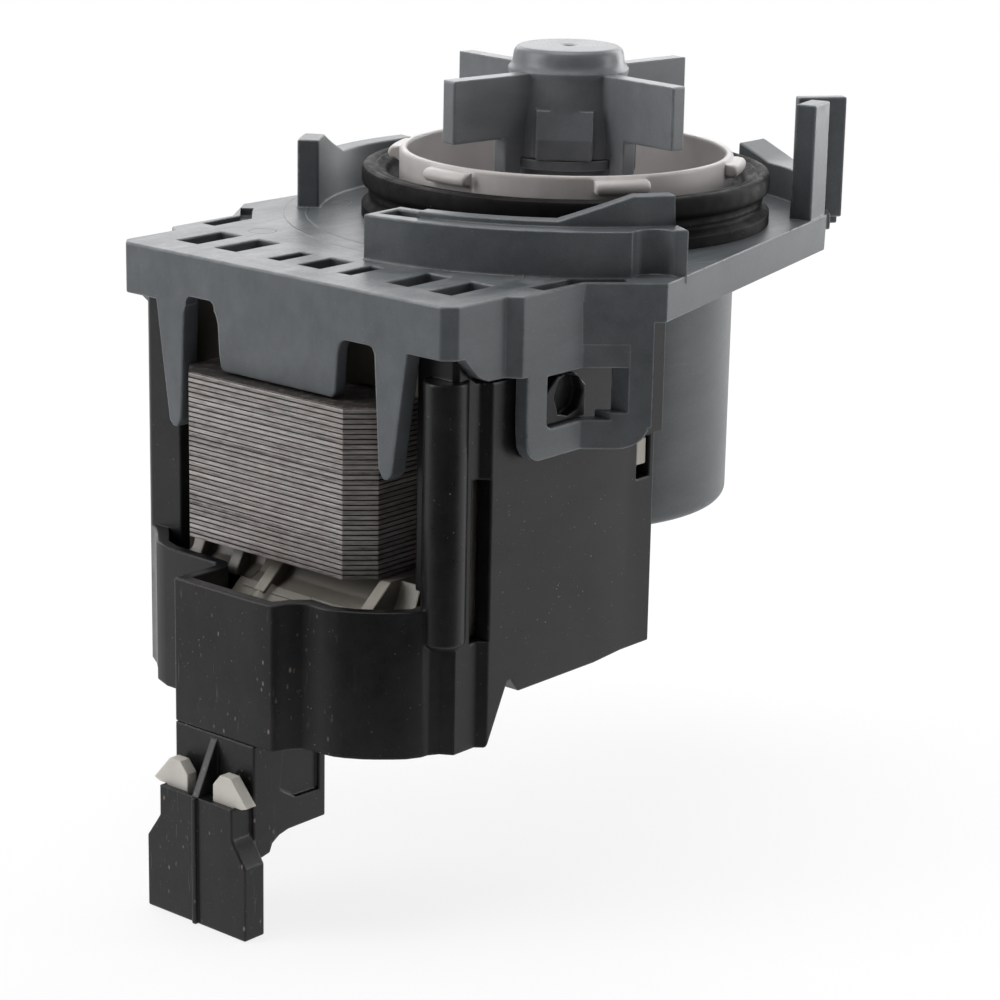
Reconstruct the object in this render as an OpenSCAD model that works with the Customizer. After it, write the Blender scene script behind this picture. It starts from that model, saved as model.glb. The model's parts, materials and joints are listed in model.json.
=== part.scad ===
// Dishwasher drain pump motor: a moulded flange plate with bayonet ramps, a wet
// rotor in a sealed can, a four-vane impeller on top, and a U-core stator with
// its bobbin and windings in a black cover with a plug housing below.
// Z is the rotor axis, upwards. Z = 0 is the top face of the flange plate.
// The stator and the plug lie towards -X.

/* [Flange plate] */
// Distance from the rotor axis to the yoke end of the plate
plate_reach = 60.4; // [57:0.1:62]
// Half width of the plate at its yoke end
plate_half_w = 31; // [29.5:0.1:32]
// Half width of the plate at its latch wings
wing_half_w = 33; // [32:0.1:34]
// Thickness of the plate's top wall
plate_t = 2.4; // [2:0.1:3]
// Thickness of the plate's skirts
skirt_t = 2.1; // [1.6:0.1:2.4]
// Height of the skirt round the yoke end
skirt_h = 7.2; // [6:0.1:9]
// Height of the rim along the front edge
rim_h = 5.3; // [4:0.1:7]
// Radius of the plate round the seal
plate_round_r = 40; // [38:0.5:42]
// Where the front edge starts, along X and Y
nose_x = -28.3; // [-30:0.1:-26]
// Half width of the plate at its widest corner
nose_half_w = 41.1; // [39:0.1:43]
// Where the front edge ends, along X
edge_end_x = 28; // [27:0.1:28.5]
// Where the front edge ends, along Y
edge_end_y = -27.35; // [-28:0.05:-27]
// Width of the two outer pairs of slots
slot_w = 4.1; // [3:0.1:5]
// Length of the two outer pairs of slots
slot_l = 8.6; // [6:0.1:9]
// Width of the inner pair of slots
slot_small_w = 2.25; // [1.5:0.05:3]
// Length of the three inner slots
slot_small_l = 6.6; // [5:0.1:8]
// Depth of the flap that rests on the core
flap_depth = 15.3; // [13:0.1:15.5]
// Depth of the two pointed tabs beside the core
tab_depth = 24.8; // [18:0.1:28]
// Depth of the two latch tabs
latch_depth = 22.8; // [20:0.1:25]
// Lower edge of the window in each latch tab
window_low = 18.7; // [17:0.1:19.5]
// Upper edge of the window in each latch tab
window_high = 11.6; // [10:0.1:13]
// Outer radius of the pole shroud below the plate
shroud_r = 25.1; // [24.6:0.1:26]
// Wall of the pole shroud
shroud_wall = 1.8; // [1.4:0.1:2]

/* [Bayonet ramps and post] */
// Outer radius of the front wall
ramp_wall_r = 45.8; // [44.5:0.1:47]
// Height of the front wall
ramp_wall_h = 6.3; // [5:0.1:7.5]
// Inner radius of the ramps
ramp_in_r = 40.3; // [39:0.1:41]
// Width of the ramps
ramp_w = 2.6; // [2:0.1:3]
// Height of the low end of the ramps
ramp_low_h = 7.1; // [6.6:0.1:8]
// Height of the high end of the ramps
ramp_high_h = 10.5; // [9:0.1:12]
// Height of the locking post
post_h = 17; // [14:0.1:22]
// Width of the locking post along the front edge
post_w = 6; // [4:0.1:7]

/* [Rotor can and seal] */
// Outer radius of the ring round the impeller
ring_r = 24.5; // [24:0.1:24.6]
// Wall of that ring
ring_wall = 1.3; // [1:0.1:1.6]
// Height of the ring's rim over the plate
ring_top = 9.9; // [9:0.1:11]
// Number of lugs that hold the seal down
lug_count = 6; // [3:1:8]
// How far each lug reaches past the ring
lug_reach = 1.9; // [1.2:0.1:2.4]
// Outer radius of the seal's lips
seal_r = 30; // [29:0.1:31]
// Height of the seal
seal_h = 7.4; // [6.6:0.1:7.4]
// Wall of the can round the rotor
can_wall = 1.1; // [0.8:0.1:1.3]
// Gap between the rotor and the can
can_gap = 0.8; // [0.5:0.1:1]

/* [Rotor] */
// Outer radius of the rotor magnet
magnet_r = 10.6; // [9.5:0.1:11]
// Length of the rotor magnet
magnet_l = 27; // [24:0.5:27]
// Radius of the rotor shaft
shaft_r = 2; // [1.5:0.1:2.3]
// Outer radius of the plastic sleeve in the magnet
sleeve_r = 5.2; // [4.4:0.1:6]
// Outer radius of both sleeve bearings
bearing_r = 5; // [4:0.1:5.4]
// Length of both sleeve bearings
bearing_l = 5.4; // [4:0.1:5.6]
// Wall of the rubber rings round the bearings
damper_t = 2; // [1.2:0.1:2.2]

/* [Impeller] */
// Number of vanes
vane_count = 4; // [3:1:6]
// Radius of the vane tips
vane_r = 23; // [18:0.1:23]
// Thickness of the vanes
vane_t = 2.5; // [1.8:0.1:3]
// Height of the vanes' top edge over the plate
vane_top = 21.6; // [20:0.1:23]
// Height of the vanes' lower edge outside the ring
vane_low = 12.6; // [11:0.1:14]
// Radius where the vanes step down into the ring
vane_step_r = 13.2; // [12:0.1:16]
// Turn of the vanes about the axis
vane_turn = -7.8; // [-45:0.1:45]
// Top of the impeller's hub over the plate
hub_top = 25; // [24:0.1:27]
// Radius of the hub's cap
hub_cap_r = 8; // [7.4:0.1:8.4]
// Angle that each half of the lost-motion coupling takes up
dog_angle = 84; // [60:1:100]

/* [Laminated core] */
// Width of the core across both legs
core_w = 35.9; // [34:0.1:36.2]
// Number of steel sheets
core_sheets = 34; // [28:1:35]
// Pitch of the steel sheets
sheet_pitch = 0.693; // [0.6:0.001:0.7]
// Share of each pitch that the sheet's edge fills
sheet_fill = 0.72; // [0.6:0.01:0.9]
// Depth of the grooves between the sheets
sheet_groove = 0.3; // [0.1:0.05:0.5]
// Distance from the rotor axis to the yoke's face
core_reach = 62.8; // [61:0.1:64]
// Distance from the plate's top face to the core's top
core_drop = 15.64; // [15.5:0.01:16]
// Width of the yoke along X
yoke_w = 11; // [9:0.1:11.4]
// Width of each leg
leg_w = 11; // [9:0.1:12]
// How far the legs reach past the rotor axis
leg_reach = 11; // [8:0.1:13]
// Chamfer on the yoke's corners
core_chamfer = 3.4; // [2:0.1:5]

/* [Bobbin and windings] */
// Wall of the bobbin's tubes
bobbin_wall = 1.2; // [0.9:0.1:1.4]
// Thickness of the bobbin's flanges
flange_t = 1.5; // [1:0.1:2]
// Depth of the windings
winding_t = 5.2; // [3.5:0.1:5.3]
// Width of the bobbin's flanges to each side
flange_half_w = 27.2; // [26.5:0.1:27.3]

/* [Motor cover] */
// Half width of the cover
cover_half_w = 30.6; // [30:0.1:30.7]
// Wall of the cover
cover_wall = 1.8; // [1.4:0.1:2]
// Depth of the cover under the windings
cover_low = 55.5; // [54:0.1:58]
// Depth of the cover's front band
band_low = 62; // [60:0.1:65]
// Rim of the cover's front band
band_high = 41.4; // [41:0.1:44]
// Distance from the rotor axis to the open end of the cover
cover_end = 15.4; // [14.8:0.1:16]
// How far the box at the front of the cover stands out past the plate
box_out = 12.1; // [11:0.1:13]
// Half width of the box at the front of the cover
riser_half_w = 7.6; // [6.8:0.1:8.2]

/* [Plug housing] */
// Depth of the neck between the cover and the plug
neck_low = 75.8; // [74:0.1:78]
// Depth of the plug's lower end
plug_low = 88.7; // [86:0.1:92]
// Depth of the plug's upper end
plug_high = 70.2; // [69:0.1:71.5]
// Half width of the plug
plug_half_w = 9.5; // [9.2:0.1:11]
// Thickness of the plug
plug_t = 3.7; // [3.4:0.1:5]
// Width of the terminal blades
blade_w = 6.3; // [4.8:0.1:6.6]
// Thickness of the terminal blades
blade_t = 0.8; // [0.5:0.1:1]

/* [Hidden] */
$fn = 64;
grey = [0.46, 0.50, 0.53];
black = [0.12, 0.12, 0.13];
off_white = [0.83, 0.80, 0.76];
steel = [0.62, 0.60, 0.59];
copper = [0.72, 0.38, 0.20];
rubber = [0.10, 0.10, 0.10];

// Clearances
fit_gap = 0.3;
run_gap = 0.03;
bond_gap = 0.02;
seat_gap = 0.1;
eps = 0.01;

// Core
core_h = core_sheets * sheet_pitch;
core_top = -core_drop;
core_low = core_top - core_h;
leg_out = core_w / 2;
leg_in = leg_out - leg_w;
yoke_in = -core_reach + yoke_w;

// Rotor can
can_in_r = magnet_r + can_gap;
can_out_r = can_in_r + can_wall;
core_bore_r = can_out_r + fit_gap;
o_ring_t = 1.2;
cup_seat = -o_ring_t;
cup_floor_t = 1.5;
cup_floor = cup_seat + cup_floor_t;
ring_in_r = ring_r - ring_wall;
collar_w = 1.7;
collar_h = 1.2;
collar_r = ring_r + collar_w;
seal_land_h = 1.6;

// Rotor stack, from the magnet's middle at the core's middle
rotor_mid = (core_top + core_low) / 2;
magnet_top = rotor_mid + magnet_l / 2;
magnet_low = rotor_mid - magnet_l / 2;
sleeve_end_t = 1.2;
sleeve_top = magnet_top + sleeve_end_t;
sleeve_low = magnet_low - sleeve_end_t;
washer_t = 0.6;
end_play = 0.3;
front_bearing_low = sleeve_top + washer_t + 2 * end_play;
front_bearing_top = front_bearing_low + bearing_l;
rear_bearing_top = sleeve_low - washer_t - 2 * end_play;
rear_bearing_low = rear_bearing_top - bearing_l;
damper_r = bearing_r + damper_t;
neck_in_r = damper_r + seat_gap;
neck_out_r = neck_in_r + can_wall;
can_step = rear_bearing_top + end_play;
can_low = rear_bearing_low - 2.2;
cap_flange_t = 1.2;
cap_flange_r = 15;
cap_top = cup_floor + cap_flange_t;
shaft_low = rear_bearing_low + 0.4;

// Impeller
impeller_low = cap_top + 0.8;
chamber_r = 6.4;
chamber_low = 9.5;
chamber_top = 18.4;
base_disc_r = 10;
base_disc_t = 1.4;
base_low_r = 8.4;
hub_wide_r = 9.7;
hub_narrow_r = 8.5;
hub_collar_r = 8.8;
hub_edge = 1;
shaft_top = chamber_top + 2.6;
dog_hub_r = 3.3;
dog_gap = 0.35;
dog_low = chamber_low + 0.5;
dog_top = chamber_top - 0.5;
hook_w = 8.2;
hook_reach = 10.1;

// Shroud
shroud_in_r = shroud_r - shroud_wall;
shroud_floor = core_low - 0.9;
shroud_low = shroud_floor - 1.5;
shroud_edge = 1.6;

// Plate details
right_ramp_r = ramp_in_r + 2.2;
post_in_r = plate_round_r - 5;
base_z = -1;
front_edge_angle = atan2(edge_end_y + nose_half_w, edge_end_x - nose_x);
slot_start = plate_reach - 6.2;
slot_y = [23.55, 16];
slot_small_y = 6.6;
wing_start = 49.5;
wing_step = 1.3;
wing_end = 36;
notch_y = [12, 17.5];
notch_top = 5.8;
flap_half_w = 11.2;
tab_in_y = leg_out - 0.05;
tab_out_y = 23.5;
tab_tip_y = 21;
tab_t = 2.9;
latch_x = [-47.1, -29.4];
latch_tip_y = 39.95;
window_x = [-43, -31.6];

// Cover
cover_front = plate_reach + box_out;
col_front = plate_reach - tab_t - 0.5;
col_in_y = 22.4;
cover_top = 7.5;
cover_inner_top = plate_t + fit_gap;
end_step = 1.8;
end_half_w = cover_half_w - 0.75;
end_step_low = 25;
nub_x = [-42.4, -34];
nub_t = 1.6;
band_end = 9.1 - plate_reach;
slot_cover_x = [band_end - 2.3, band_end];
slot_cover_z = [-46.9, -24.5];
side_top_x = -wing_start + wing_step + 1.7;
bobbin_hole_x = [-19.3, -16.5];
bobbin_hole_z = [-30.9, -25];

// Plug
neck_back = cover_front - 13.9;
neck_wall = 1.4;
plug_front = cover_front + plug_t;
plug_top_half_w = 7;
plug_shoulder_high = 74.6;
plug_shoulder_low = 77.6;
cavity_in_y = 0.8;
cavity_w = blade_w + 1.2;
cavity_t = blade_t + 1.1;
blade_y = cavity_in_y + cavity_w / 2;
blade_x = -cover_front - plug_t / 2;
carrier_t = cavity_t - 0.2;
lead_r = 0.6;

// One light pass of corner cutting over an open run of points, ends kept
function soften(p) = concat([p[0]],
    [for (i = [1 : len(p) - 2]) each [p[i] * 0.7 + p[i - 1] * 0.3, p[i] * 0.7 + p[i + 1] * 0.3]],
    [p[len(p) - 1]]);
function mirrored(p) = [for (i = [len(p) - 1 : -1 : 0]) [p[i][0], -p[i][1]]];

// Plan of the cover: its open end and sides, the wavy front on the latch side,
// the box at the front, and the plain front on the other side
side_run = [[-cover_end + end_step, -end_half_w], [-21.7, -end_half_w], [-28.6, -cover_half_w],
    [band_end, -cover_half_w], [band_end - 1.1, -29.3], [band_end - 5.2, -29.3]];
box_near_y = -riser_half_w - 2.8;
wave = soften([[band_end - 5.2, -29.3], [band_end - 6.7, -26.9], [band_end - 9.7, -26.6],
    [band_end - 12.9, -23.7], [band_end - 15.6, -20.4], [band_end - 17.1, -17],
    [band_end - 16.9, -13.4], [band_end - 18.7, -11.9], [-cover_front + 0.7, box_near_y - 1],
    [-cover_front, box_near_y], [-cover_front, 0]]);
far_run = [[-cover_front, riser_half_w], [band_end - 13.5, riser_half_w],
    [band_end - 12.5, riser_half_w + 1], [band_end - 12.4, 18.6], [band_end - 11.3, 21.6],
    [band_end - 8.3, 24.8], [band_end - 6.7, 26.8]];
cover_outline = concat(side_run, wave, far_run, mirrored(side_run));
end_in_y = end_half_w - cover_wall;
side_in_y = cover_half_w - cover_wall;
cover_inline = concat([[-cover_end - cover_wall, -end_in_y], [-22, -end_in_y],
    [-28.8, -side_in_y], [band_end + 0.5, -side_in_y], [band_end - 0.5, -27.5],
    [band_end - 4.3, -27.4], [band_end - 5.7, -25], [band_end - 9.1, -24.7],
    [band_end - 11.6, -22.6], [band_end - 14.1, -19.4], [band_end - 15.3, -16.6],
    [band_end - 15.1, -12.6], [band_end - 17.5, -10.4], [-cover_front + cover_wall, box_near_y + 1],
    [-cover_front + cover_wall, riser_half_w - cover_wall],
    [band_end - 12.7, riser_half_w - cover_wall], [band_end - 10.9, riser_half_w],
    [band_end - 10.6, 18], [band_end - 9.7, 20.6], [band_end - 6.9, 23.6], [band_end - 5.3, 25.6],
    [band_end - 4.1, 27.5], [band_end - 0.3, 27.5], [band_end + 0.7, side_in_y],
    [-28.8, side_in_y], [-22, end_in_y], [-cover_end - cover_wall, end_in_y]]);

module flat(z0, z1) {
    translate([0, 0, z0]) linear_extrude(z1 - z0) children();
}

// A slab across Y, its outline drawn in X and Z
module across(y0, y1) {
    translate([0, y1, 0]) rotate([90, 0, 0]) linear_extrude(y1 - y0) children();
}

// A slab across X, its outline drawn in Y and Z
module along(x0, x1) {
    translate([x0, 0, 0]) rotate([90, 0, 90]) linear_extrude(x1 - x0) children();
}

module block(x, y, z) {
    translate([x[0], y[0], z[0]]) cube([x[1] - x[0], y[1] - y[0], z[1] - z[0]]);
}

module both_sides() {
    children();
    mirror([0, 1, 0]) children();
}

module tube(r_out, r_in, z0, z1) {
    translate([0, 0, z0]) difference() {
        cylinder(r = r_out, h = z1 - z0);
        translate([0, 0, -1]) cylinder(r = r_in, h = z1 - z0 + 2);
    }
}

// A pie slice in the plan, wide enough for the radius r
module slice(a0, a1, r) {
    steps = ceil((a1 - a0) / 30);
    polygon(concat([[0, 0]], [for (i = [0 : steps])
        let (a = a0 + (a1 - a0) * i / steps) [2 * r * cos(a), 2 * r * sin(a)]]));
}

module ring_sector(r_in, r_out, a0, a1, z0, z1) {
    flat(z0, z1) intersection() {
        difference() {
            circle(r = r_out, $fn = 128);
            circle(r = r_in, $fn = 128);
        }
        slice(a0, a1, r_out);
    }
}

// Plan of the plate: one straight-sided outline and the round part past it
module plate_plan() {
    back_nose = nose_half_w - 2.6;
    run = [[-plate_reach, -plate_half_w + 1.6], [-plate_reach + 1.6, -plate_half_w],
        [-wing_start, -plate_half_w], [-wing_start + wing_step, -wing_half_w], [-wing_end, -wing_half_w]];
    difference() {
        union() {
            polygon(concat(run, [[nose_x, -nose_half_w], [edge_end_x, edge_end_y],
                [edge_end_x + 1.4, edge_end_y + 0.9], [10, 5], [-10, plate_round_r - 2],
                [nose_x, back_nose]], mirrored(run)));
            intersection() {
                circle(r = plate_round_r, $fn = 128);
                slice(-43, 118, plate_round_r);
            }
            intersection() {
                circle(r = right_ramp_r, $fn = 128);
                slice(-36, 0, right_ramp_r);
            }
        }
        circle(r = collar_r + 0.2, $fn = 128);
    }
}

// Seven slots near the yoke end, the same on both sides of the middle
module plate_slots() {
    both_sides() for (y = slot_y)
        translate([-slot_start, y - slot_w / 2]) square([slot_l, slot_w]);
    both_sides() translate([-slot_start, slot_small_y - slot_small_w / 2])
        square([slot_small_l, slot_small_w]);
    translate([-slot_start, -slot_w / 2]) square([slot_small_l, slot_w]);
}

// The L-shaped slit behind each latch tab
module latch_slit() {
    polygon([[window_x[0] - 0.1, -wing_half_w + 1.1], [window_x[0] - 0.1, -wing_half_w + 3.5],
        [-wing_end + 0.5, -wing_half_w + 3.3], [latch_x[1] - 0.5, -nose_half_w + 6],
        [latch_x[1] - 1.6, -nose_half_w + 4.6], [-wing_end + 0.7, -wing_half_w + 0.8]]);
}

// Wall round the yoke end with its notches, flap and pointed tabs
module yoke_skirt() {
    along(-plate_reach, -plate_reach + skirt_t) difference() {
        union() {
            translate([-plate_half_w + 1.6, -skirt_h])
                square([2 * (plate_half_w - 1.6), skirt_h]);
            polygon([[-flap_half_w - 0.9, -notch_top], [-flap_half_w, -9], [-flap_half_w + 0.4, -flap_depth],
                [flap_half_w - 0.4, -flap_depth], [flap_half_w, -9], [flap_half_w + 0.9, -notch_top]]);
        }
        both_sides() {
            translate([notch_y[0], -skirt_h - 1])
                square([notch_y[1] - notch_y[0], skirt_h + 1 - notch_top - 1]);
            translate([notch_y[0] + 1, -notch_top - 1.01]) square([notch_y[1] - notch_y[0] - 2, 1.01]);
            translate([notch_y[0] + 1, -notch_top - 1]) circle(r = 1);
            translate([notch_y[1] - 1, -notch_top - 1]) circle(r = 1);
        }
    }
    both_sides() along(-plate_reach, -plate_reach + tab_t)
        polygon([[tab_in_y - 0.4, -skirt_h + 1], [tab_in_y, -skirt_h - 1], [tab_in_y + 0.8, -tab_depth + 1.2],
            [tab_in_y + 1.6, -tab_depth], [tab_tip_y - 0.8, -tab_depth], [tab_tip_y, -tab_depth + 0.8],
            [tab_out_y, -skirt_h], [tab_out_y, -skirt_h + 1]]);
}

// Side skirt with the rounded lobe below its rear end
module side_skirt() {
    lobe = 11;
    across(-plate_half_w, -plate_half_w + skirt_t)
        polygon([[-plate_reach + 1.6, 0], [-plate_reach + 1.6, -skirt_h], [-plate_reach + 3.1, -skirt_h],
            [-56, -8.6], [-54.4, -10.1], [-52.6, -10.9], [-wing_start, -lobe],
            [-wing_start, 0]]);
    flat(-skirt_h, -plate_t + eps) polygon([[-plate_reach, -plate_half_w + 1.6],
        [-plate_reach + 1.6, -plate_half_w], [-plate_reach + 2.6, -plate_half_w + skirt_t],
        [-plate_reach + skirt_t, -plate_half_w + 2.6]]);
    flat(-lobe, 0) polygon([[-wing_start, -plate_half_w], [-wing_start + wing_step, -wing_half_w],
        [-wing_start + wing_step + 1.4, -wing_half_w],
            [-wing_start + wing_step + 1.4, -wing_half_w + skirt_t],
        [-wing_start, -plate_half_w + skirt_t]]);
}

// Plan of a latch tab: straight along the wing, then along the slanted corner
module latch_plan(inner) {
    in_y = -wing_half_w + inner;
    polygon([[latch_x[0], -wing_half_w], [-wing_end, -wing_half_w], [latch_x[1], -latch_tip_y],
        [latch_x[1] + inner * 0.7, -latch_tip_y + inner * 0.7], [-wing_end + inner * 0.4, in_y],
        [latch_x[0], in_y]]);
}

module latch_tab() {
    corner = 3;
    difference() {
        flat(-latch_depth, -plate_t + eps) latch_plan(skirt_t);
        across(-50, 0) difference() {
            translate([-60, -latch_depth - 1]) square([40, corner + 1]);
            translate([latch_x[0] + corner, -latch_depth + corner]) circle(r = corner);
            translate([latch_x[1] - 0.3 - corner, -latch_depth + corner]) circle(r = corner);
            translate([latch_x[0] + corner, -latch_depth])
                square([latch_x[1] - latch_x[0] - 0.3 - 2 * corner, corner + 1]);
        }
        across(-50, 0) union() {
            translate([window_x[0], -window_low + 1])
                square([window_x[1] - window_x[0], window_low - window_high - 1]);
            translate([window_x[0] + 1, -window_low]) square([window_x[1] - window_x[0] - 2.5, 1.01]);
            translate([window_x[0] + 1, -window_low + 1]) circle(r = 1);
        }
        // Shallow panel above the window
        translate([0, -0.55, 0]) flat(-window_high - eps, -8.4) difference() {
            translate([0, 0.05]) latch_plan(0.5);
            translate([-60, -60]) square([60 + window_x[0], 60]);
            translate([window_x[1], -60]) square([60, 60]);
        }
    }
}

// Rims along the slanted corner and the front edge
module front_rim() {
    flat(-rim_h, -plate_t / 2) polygon([[-wing_end, -wing_half_w], [nose_x, -nose_half_w],
        [edge_end_x, edge_end_y], [edge_end_x, edge_end_y + skirt_t],
        [nose_x + 1.6, -nose_half_w + 0.4 + skirt_t], [-wing_end + 0.9, -wing_half_w + skirt_t]]);
    block([-wing_start + wing_step, -wing_end + 1], [-wing_half_w, -wing_half_w + skirt_t],
        [-rim_h, -plate_t / 2]);
}

module back_rim() {
    nose_y = nose_half_w - 2.6;
    mirror([0, 1, 0]) {
        flat(-rim_h, -plate_t / 2) polygon([[-wing_end, -wing_half_w], [nose_x, -nose_y],
            [nose_x + 1.6, -nose_y + skirt_t], [-wing_end + 0.9, -wing_half_w + skirt_t]]);
        block([-wing_start + wing_step, -wing_end + 1], [-wing_half_w, -wing_half_w + skirt_t],
            [-rim_h, -plate_t / 2]);
    }
    ring_sector(plate_round_r - skirt_t, plate_round_r, -20, 118, -rim_h, -plate_t / 2);
}

// A wedge that rises along the arc from angle a0 to a1, with a short run-in at
// both ends that lies under its neighbours
module wedge(r_in, r_out, a0, a1, z_low, z_high) {
    mid = (a0 + a1) / 2;
    half = r_in * sin((a1 - a0) / 2);
    slope = (z_high - z_low) / (2 * half);
    middle = (z_high + z_low) / 2;
    reach = half + 3;
    intersection() {
        ring_sector(r_in, r_out, a0 - 2, a1 + 2, base_z, z_high);
        rotate([0, 0, mid]) translate([r_in - 2, 0, 0]) rotate([90, 0, 90])
            linear_extrude(r_out - r_in + 4)
                polygon([[-reach, -plate_t], [reach, -plate_t], [reach, middle + reach * slope],
                    [-reach, middle - reach * slope]]);
    }
}

// The bayonet ramp with its outer wall, on the visible side
module front_ramp() {
    a_start = -177.4;
    a_pocket = -167.5;
    a_rise = -142.3;
    a_high = -128;
    a_end = -119.5;
    groove_angle = -125.6;
    floor_r = ramp_in_r + ramp_w;
    // The outer wall, with the pocket at its start, the ramp's channel and the groove cut from it
    flat(base_z, ramp_wall_h) difference() {
        intersection() {
            circle(r = ramp_wall_r, $fn = 128);
            slice(a_start, a_end, ramp_wall_r);
        }
        circle(r = ramp_in_r - 2.4, $fn = 128);
        intersection() {
            circle(r = floor_r - 0.4, $fn = 128);
            slice(a_pocket, a_end + 3, ramp_wall_r);
        }
        polygon([[-43.9, -3.2], [-39.4, -2.8], [-39, -6.3], [-42.5, -9.4]]);
        rotate([0, 0, groove_angle]) translate([ramp_wall_r + 1.6, 0]) circle(r = 3.4, $fn = 32);
    }
    ring_sector(ramp_in_r, floor_r, a_pocket - 1, a_rise + 4, base_z, ramp_low_h);
    wedge(ramp_in_r, floor_r, a_rise, a_high, ramp_low_h, ramp_high_h);
    ring_sector(ramp_in_r, floor_r, a_high, a_end - 1, base_z, ramp_high_h);
}

// The two ramps on the far side of the seal
module back_ramps() {
    right_in_r = right_ramp_r - 5.5;
    right_low = ramp_wall_h - 1.3;
    right_high = ramp_low_h + 0.1;
    far_in_r = plate_round_r - 3.6;
    far_r = plate_round_r - 0.4;
    ring_sector(right_in_r, right_ramp_r, -33, -13, base_z, right_low);
    intersection() {
        wedge(right_in_r, right_ramp_r, -17.4, -6.5, right_low, right_high);
        flat(base_z, right_high + 1) slice(-25, -6.9, right_ramp_r);
    }
    ring_sector(far_in_r, far_r, 80, 112, base_z, ramp_low_h - 0.6);
    wedge(far_in_r, far_r, 107, 120, ramp_low_h - 0.6, ramp_high_h - 0.4);
    ring_sector(far_in_r, far_r, 120, 128.7, base_z, ramp_high_h - 0.4);
}

// The tall locking post at the end of the front edge and the fin behind it
module lock_post() {
    front_d = 3.1;
    fin_angle = -37.7;
    fin_t = 2;
    translate([edge_end_x, edge_end_y, 0]) rotate([0, 0, front_edge_angle])
        translate([-post_w, 0.15, base_z]) cube([post_w - 0.15, front_d, post_h - base_z]);
    rotate([0, 0, fin_angle])
        block([post_in_r, right_ramp_r - 0.1], [-fin_t / 2, fin_t / 2], [base_z, post_h]);
}

// The half-round wall that hangs round the pole ends of the core
module pole_shroud() {
    opening_w = leg_out + 0.6;
    difference() {
        rotate_extrude($fn = 128) difference() {
            union() {
                translate([0, shroud_low + shroud_edge])
                    square([shroud_r, -plate_t + eps - shroud_low - shroud_edge]);
                translate([0, shroud_low]) square([shroud_r - shroud_edge, shroud_edge + 1]);
                translate([shroud_r - shroud_edge, shroud_low + shroud_edge]) circle(r = shroud_edge);
            }
            translate([-eps, shroud_floor]) square([shroud_in_r + eps, 60]);
            translate([-30, -80]) square([30, 100]);
        }
        block([-40, -8], [-opening_w, opening_w], [shroud_floor, core_top + 0.8]);
        translate([0, 0, -60]) cylinder(r = can_out_r + fit_gap, h = 80);
    }
}

module flange_plate() {
    color(grey) {
        difference() {
            flat(-plate_t, 0) plate_plan();
            flat(-plate_t - 1, 1) plate_slots();
            both_sides() flat(-plate_t - 1, 1) latch_slit();
        }
        yoke_skirt();
        both_sides() side_skirt();
        both_sides() latch_tab();
        front_rim();
        back_rim();
        front_ramp();
        back_ramps();
        lock_post();
        pole_shroud();
        // Ledge under the can's collar and the O-ring
        tube(collar_r + 2, ring_r - 2, -plate_t, cup_seat);
    }
}

module rotor_can() {
    lug_angle = 18;
    lug_start = -122.5;
    color(off_white) {
        rotate_extrude($fn = 128) polygon([
            [can_in_r, cup_floor], [ring_in_r, cup_floor], [ring_in_r, ring_top - 0.4],
            [ring_in_r + 0.4, ring_top], [ring_r - 0.4, ring_top], [ring_r, ring_top - 0.4],
            [ring_r, collar_h], [collar_r, collar_h], [collar_r, 0.02], [ring_r, 0.02],
            [ring_r, cup_seat], [can_out_r, cup_seat], [can_out_r, can_step - can_wall],
            [neck_out_r, can_step - can_wall], [neck_out_r, can_low + 1], [neck_out_r - 1, can_low],
            [0, can_low], [0, can_low + can_wall], [neck_in_r, can_low + can_wall],
            [neck_in_r, can_step], [can_in_r, can_step]]);
        for (i = [0 : lug_count - 1])
            intersection() {
                rotate_extrude($fn = 128) union() {
                    translate([ring_r - 0.5, seal_h + 0.1]) square([lug_reach - 0.5, 1.9]);
                    translate([ring_r - 1 + lug_reach, seal_h + 1.05]) circle(r = 0.95);
                }
                flat(0, ring_top) slice(lug_start - lug_angle / 2 + 360 / lug_count * i,
                    lug_start + lug_angle / 2 + 360 / lug_count * i, collar_r);
            }
    }
}

module can_o_ring() {
    color(rubber) rotate_extrude($fn = 96)
        translate([ring_r + collar_w / 2, -o_ring_t / 2]) circle(r = o_ring_t / 2 - 0.02, $fn = 24);
}

module sump_seal() {
    inner = ring_r + seat_gap;
    relief = collar_r + seat_gap;
    color(rubber) rotate_extrude($fn = 128) polygon([
        [inner, collar_h + seat_gap], [relief, collar_h + seat_gap], [relief, 0],
        [seal_r, 0], [seal_r, seal_land_h], [seal_r - 0.9, 2.3], [seal_r - 1.4, 2.5],
        [seal_r - 1.1, 3], [seal_r - 1, 3.3], [seal_r - 1.4, 3.8], [seal_r - 0.8, 4.2],
        [seal_r - 0.2, 4.7], [seal_r, 5.2], [seal_r, seal_h - 0.8], [seal_r - 0.3, seal_h - 0.2],
        [seal_r - 0.9, seal_h], [seal_r - 1.5, seal_h - 0.1], [seal_r - 1.7, seal_h - 0.5],
        [seal_r - 2, seal_h - 0.2], [seal_r - 2.4, seal_h - 0.1], [seal_r - 2.6, seal_h - 0.5],
        [seal_r - 3.4, seal_h - 0.6], [inner + 1.5, seal_h - 1.2], [inner + 1.2, seal_h - 2.4],
        [inner, seal_h - 2.6]]);
}

// Cap that closes the can and carries the front bearing
module bearing_cap() {
    color(grey) rotate_extrude($fn = 96) polygon([
        [shaft_r + 0.6, cap_top], [cap_flange_r, cap_top], [cap_flange_r, cup_floor + eps],
        [can_in_r - seat_gap, cup_floor + eps], [can_in_r - seat_gap, front_bearing_low],
        [neck_in_r, front_bearing_low], [neck_in_r, front_bearing_top + seat_gap],
        [shaft_r + 0.6, front_bearing_top + seat_gap]]);
}

module sleeve_bearing(z) {
    color([0.55, 0.45, 0.32]) tube(bearing_r, shaft_r + run_gap, z, z + bearing_l);
}

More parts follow.
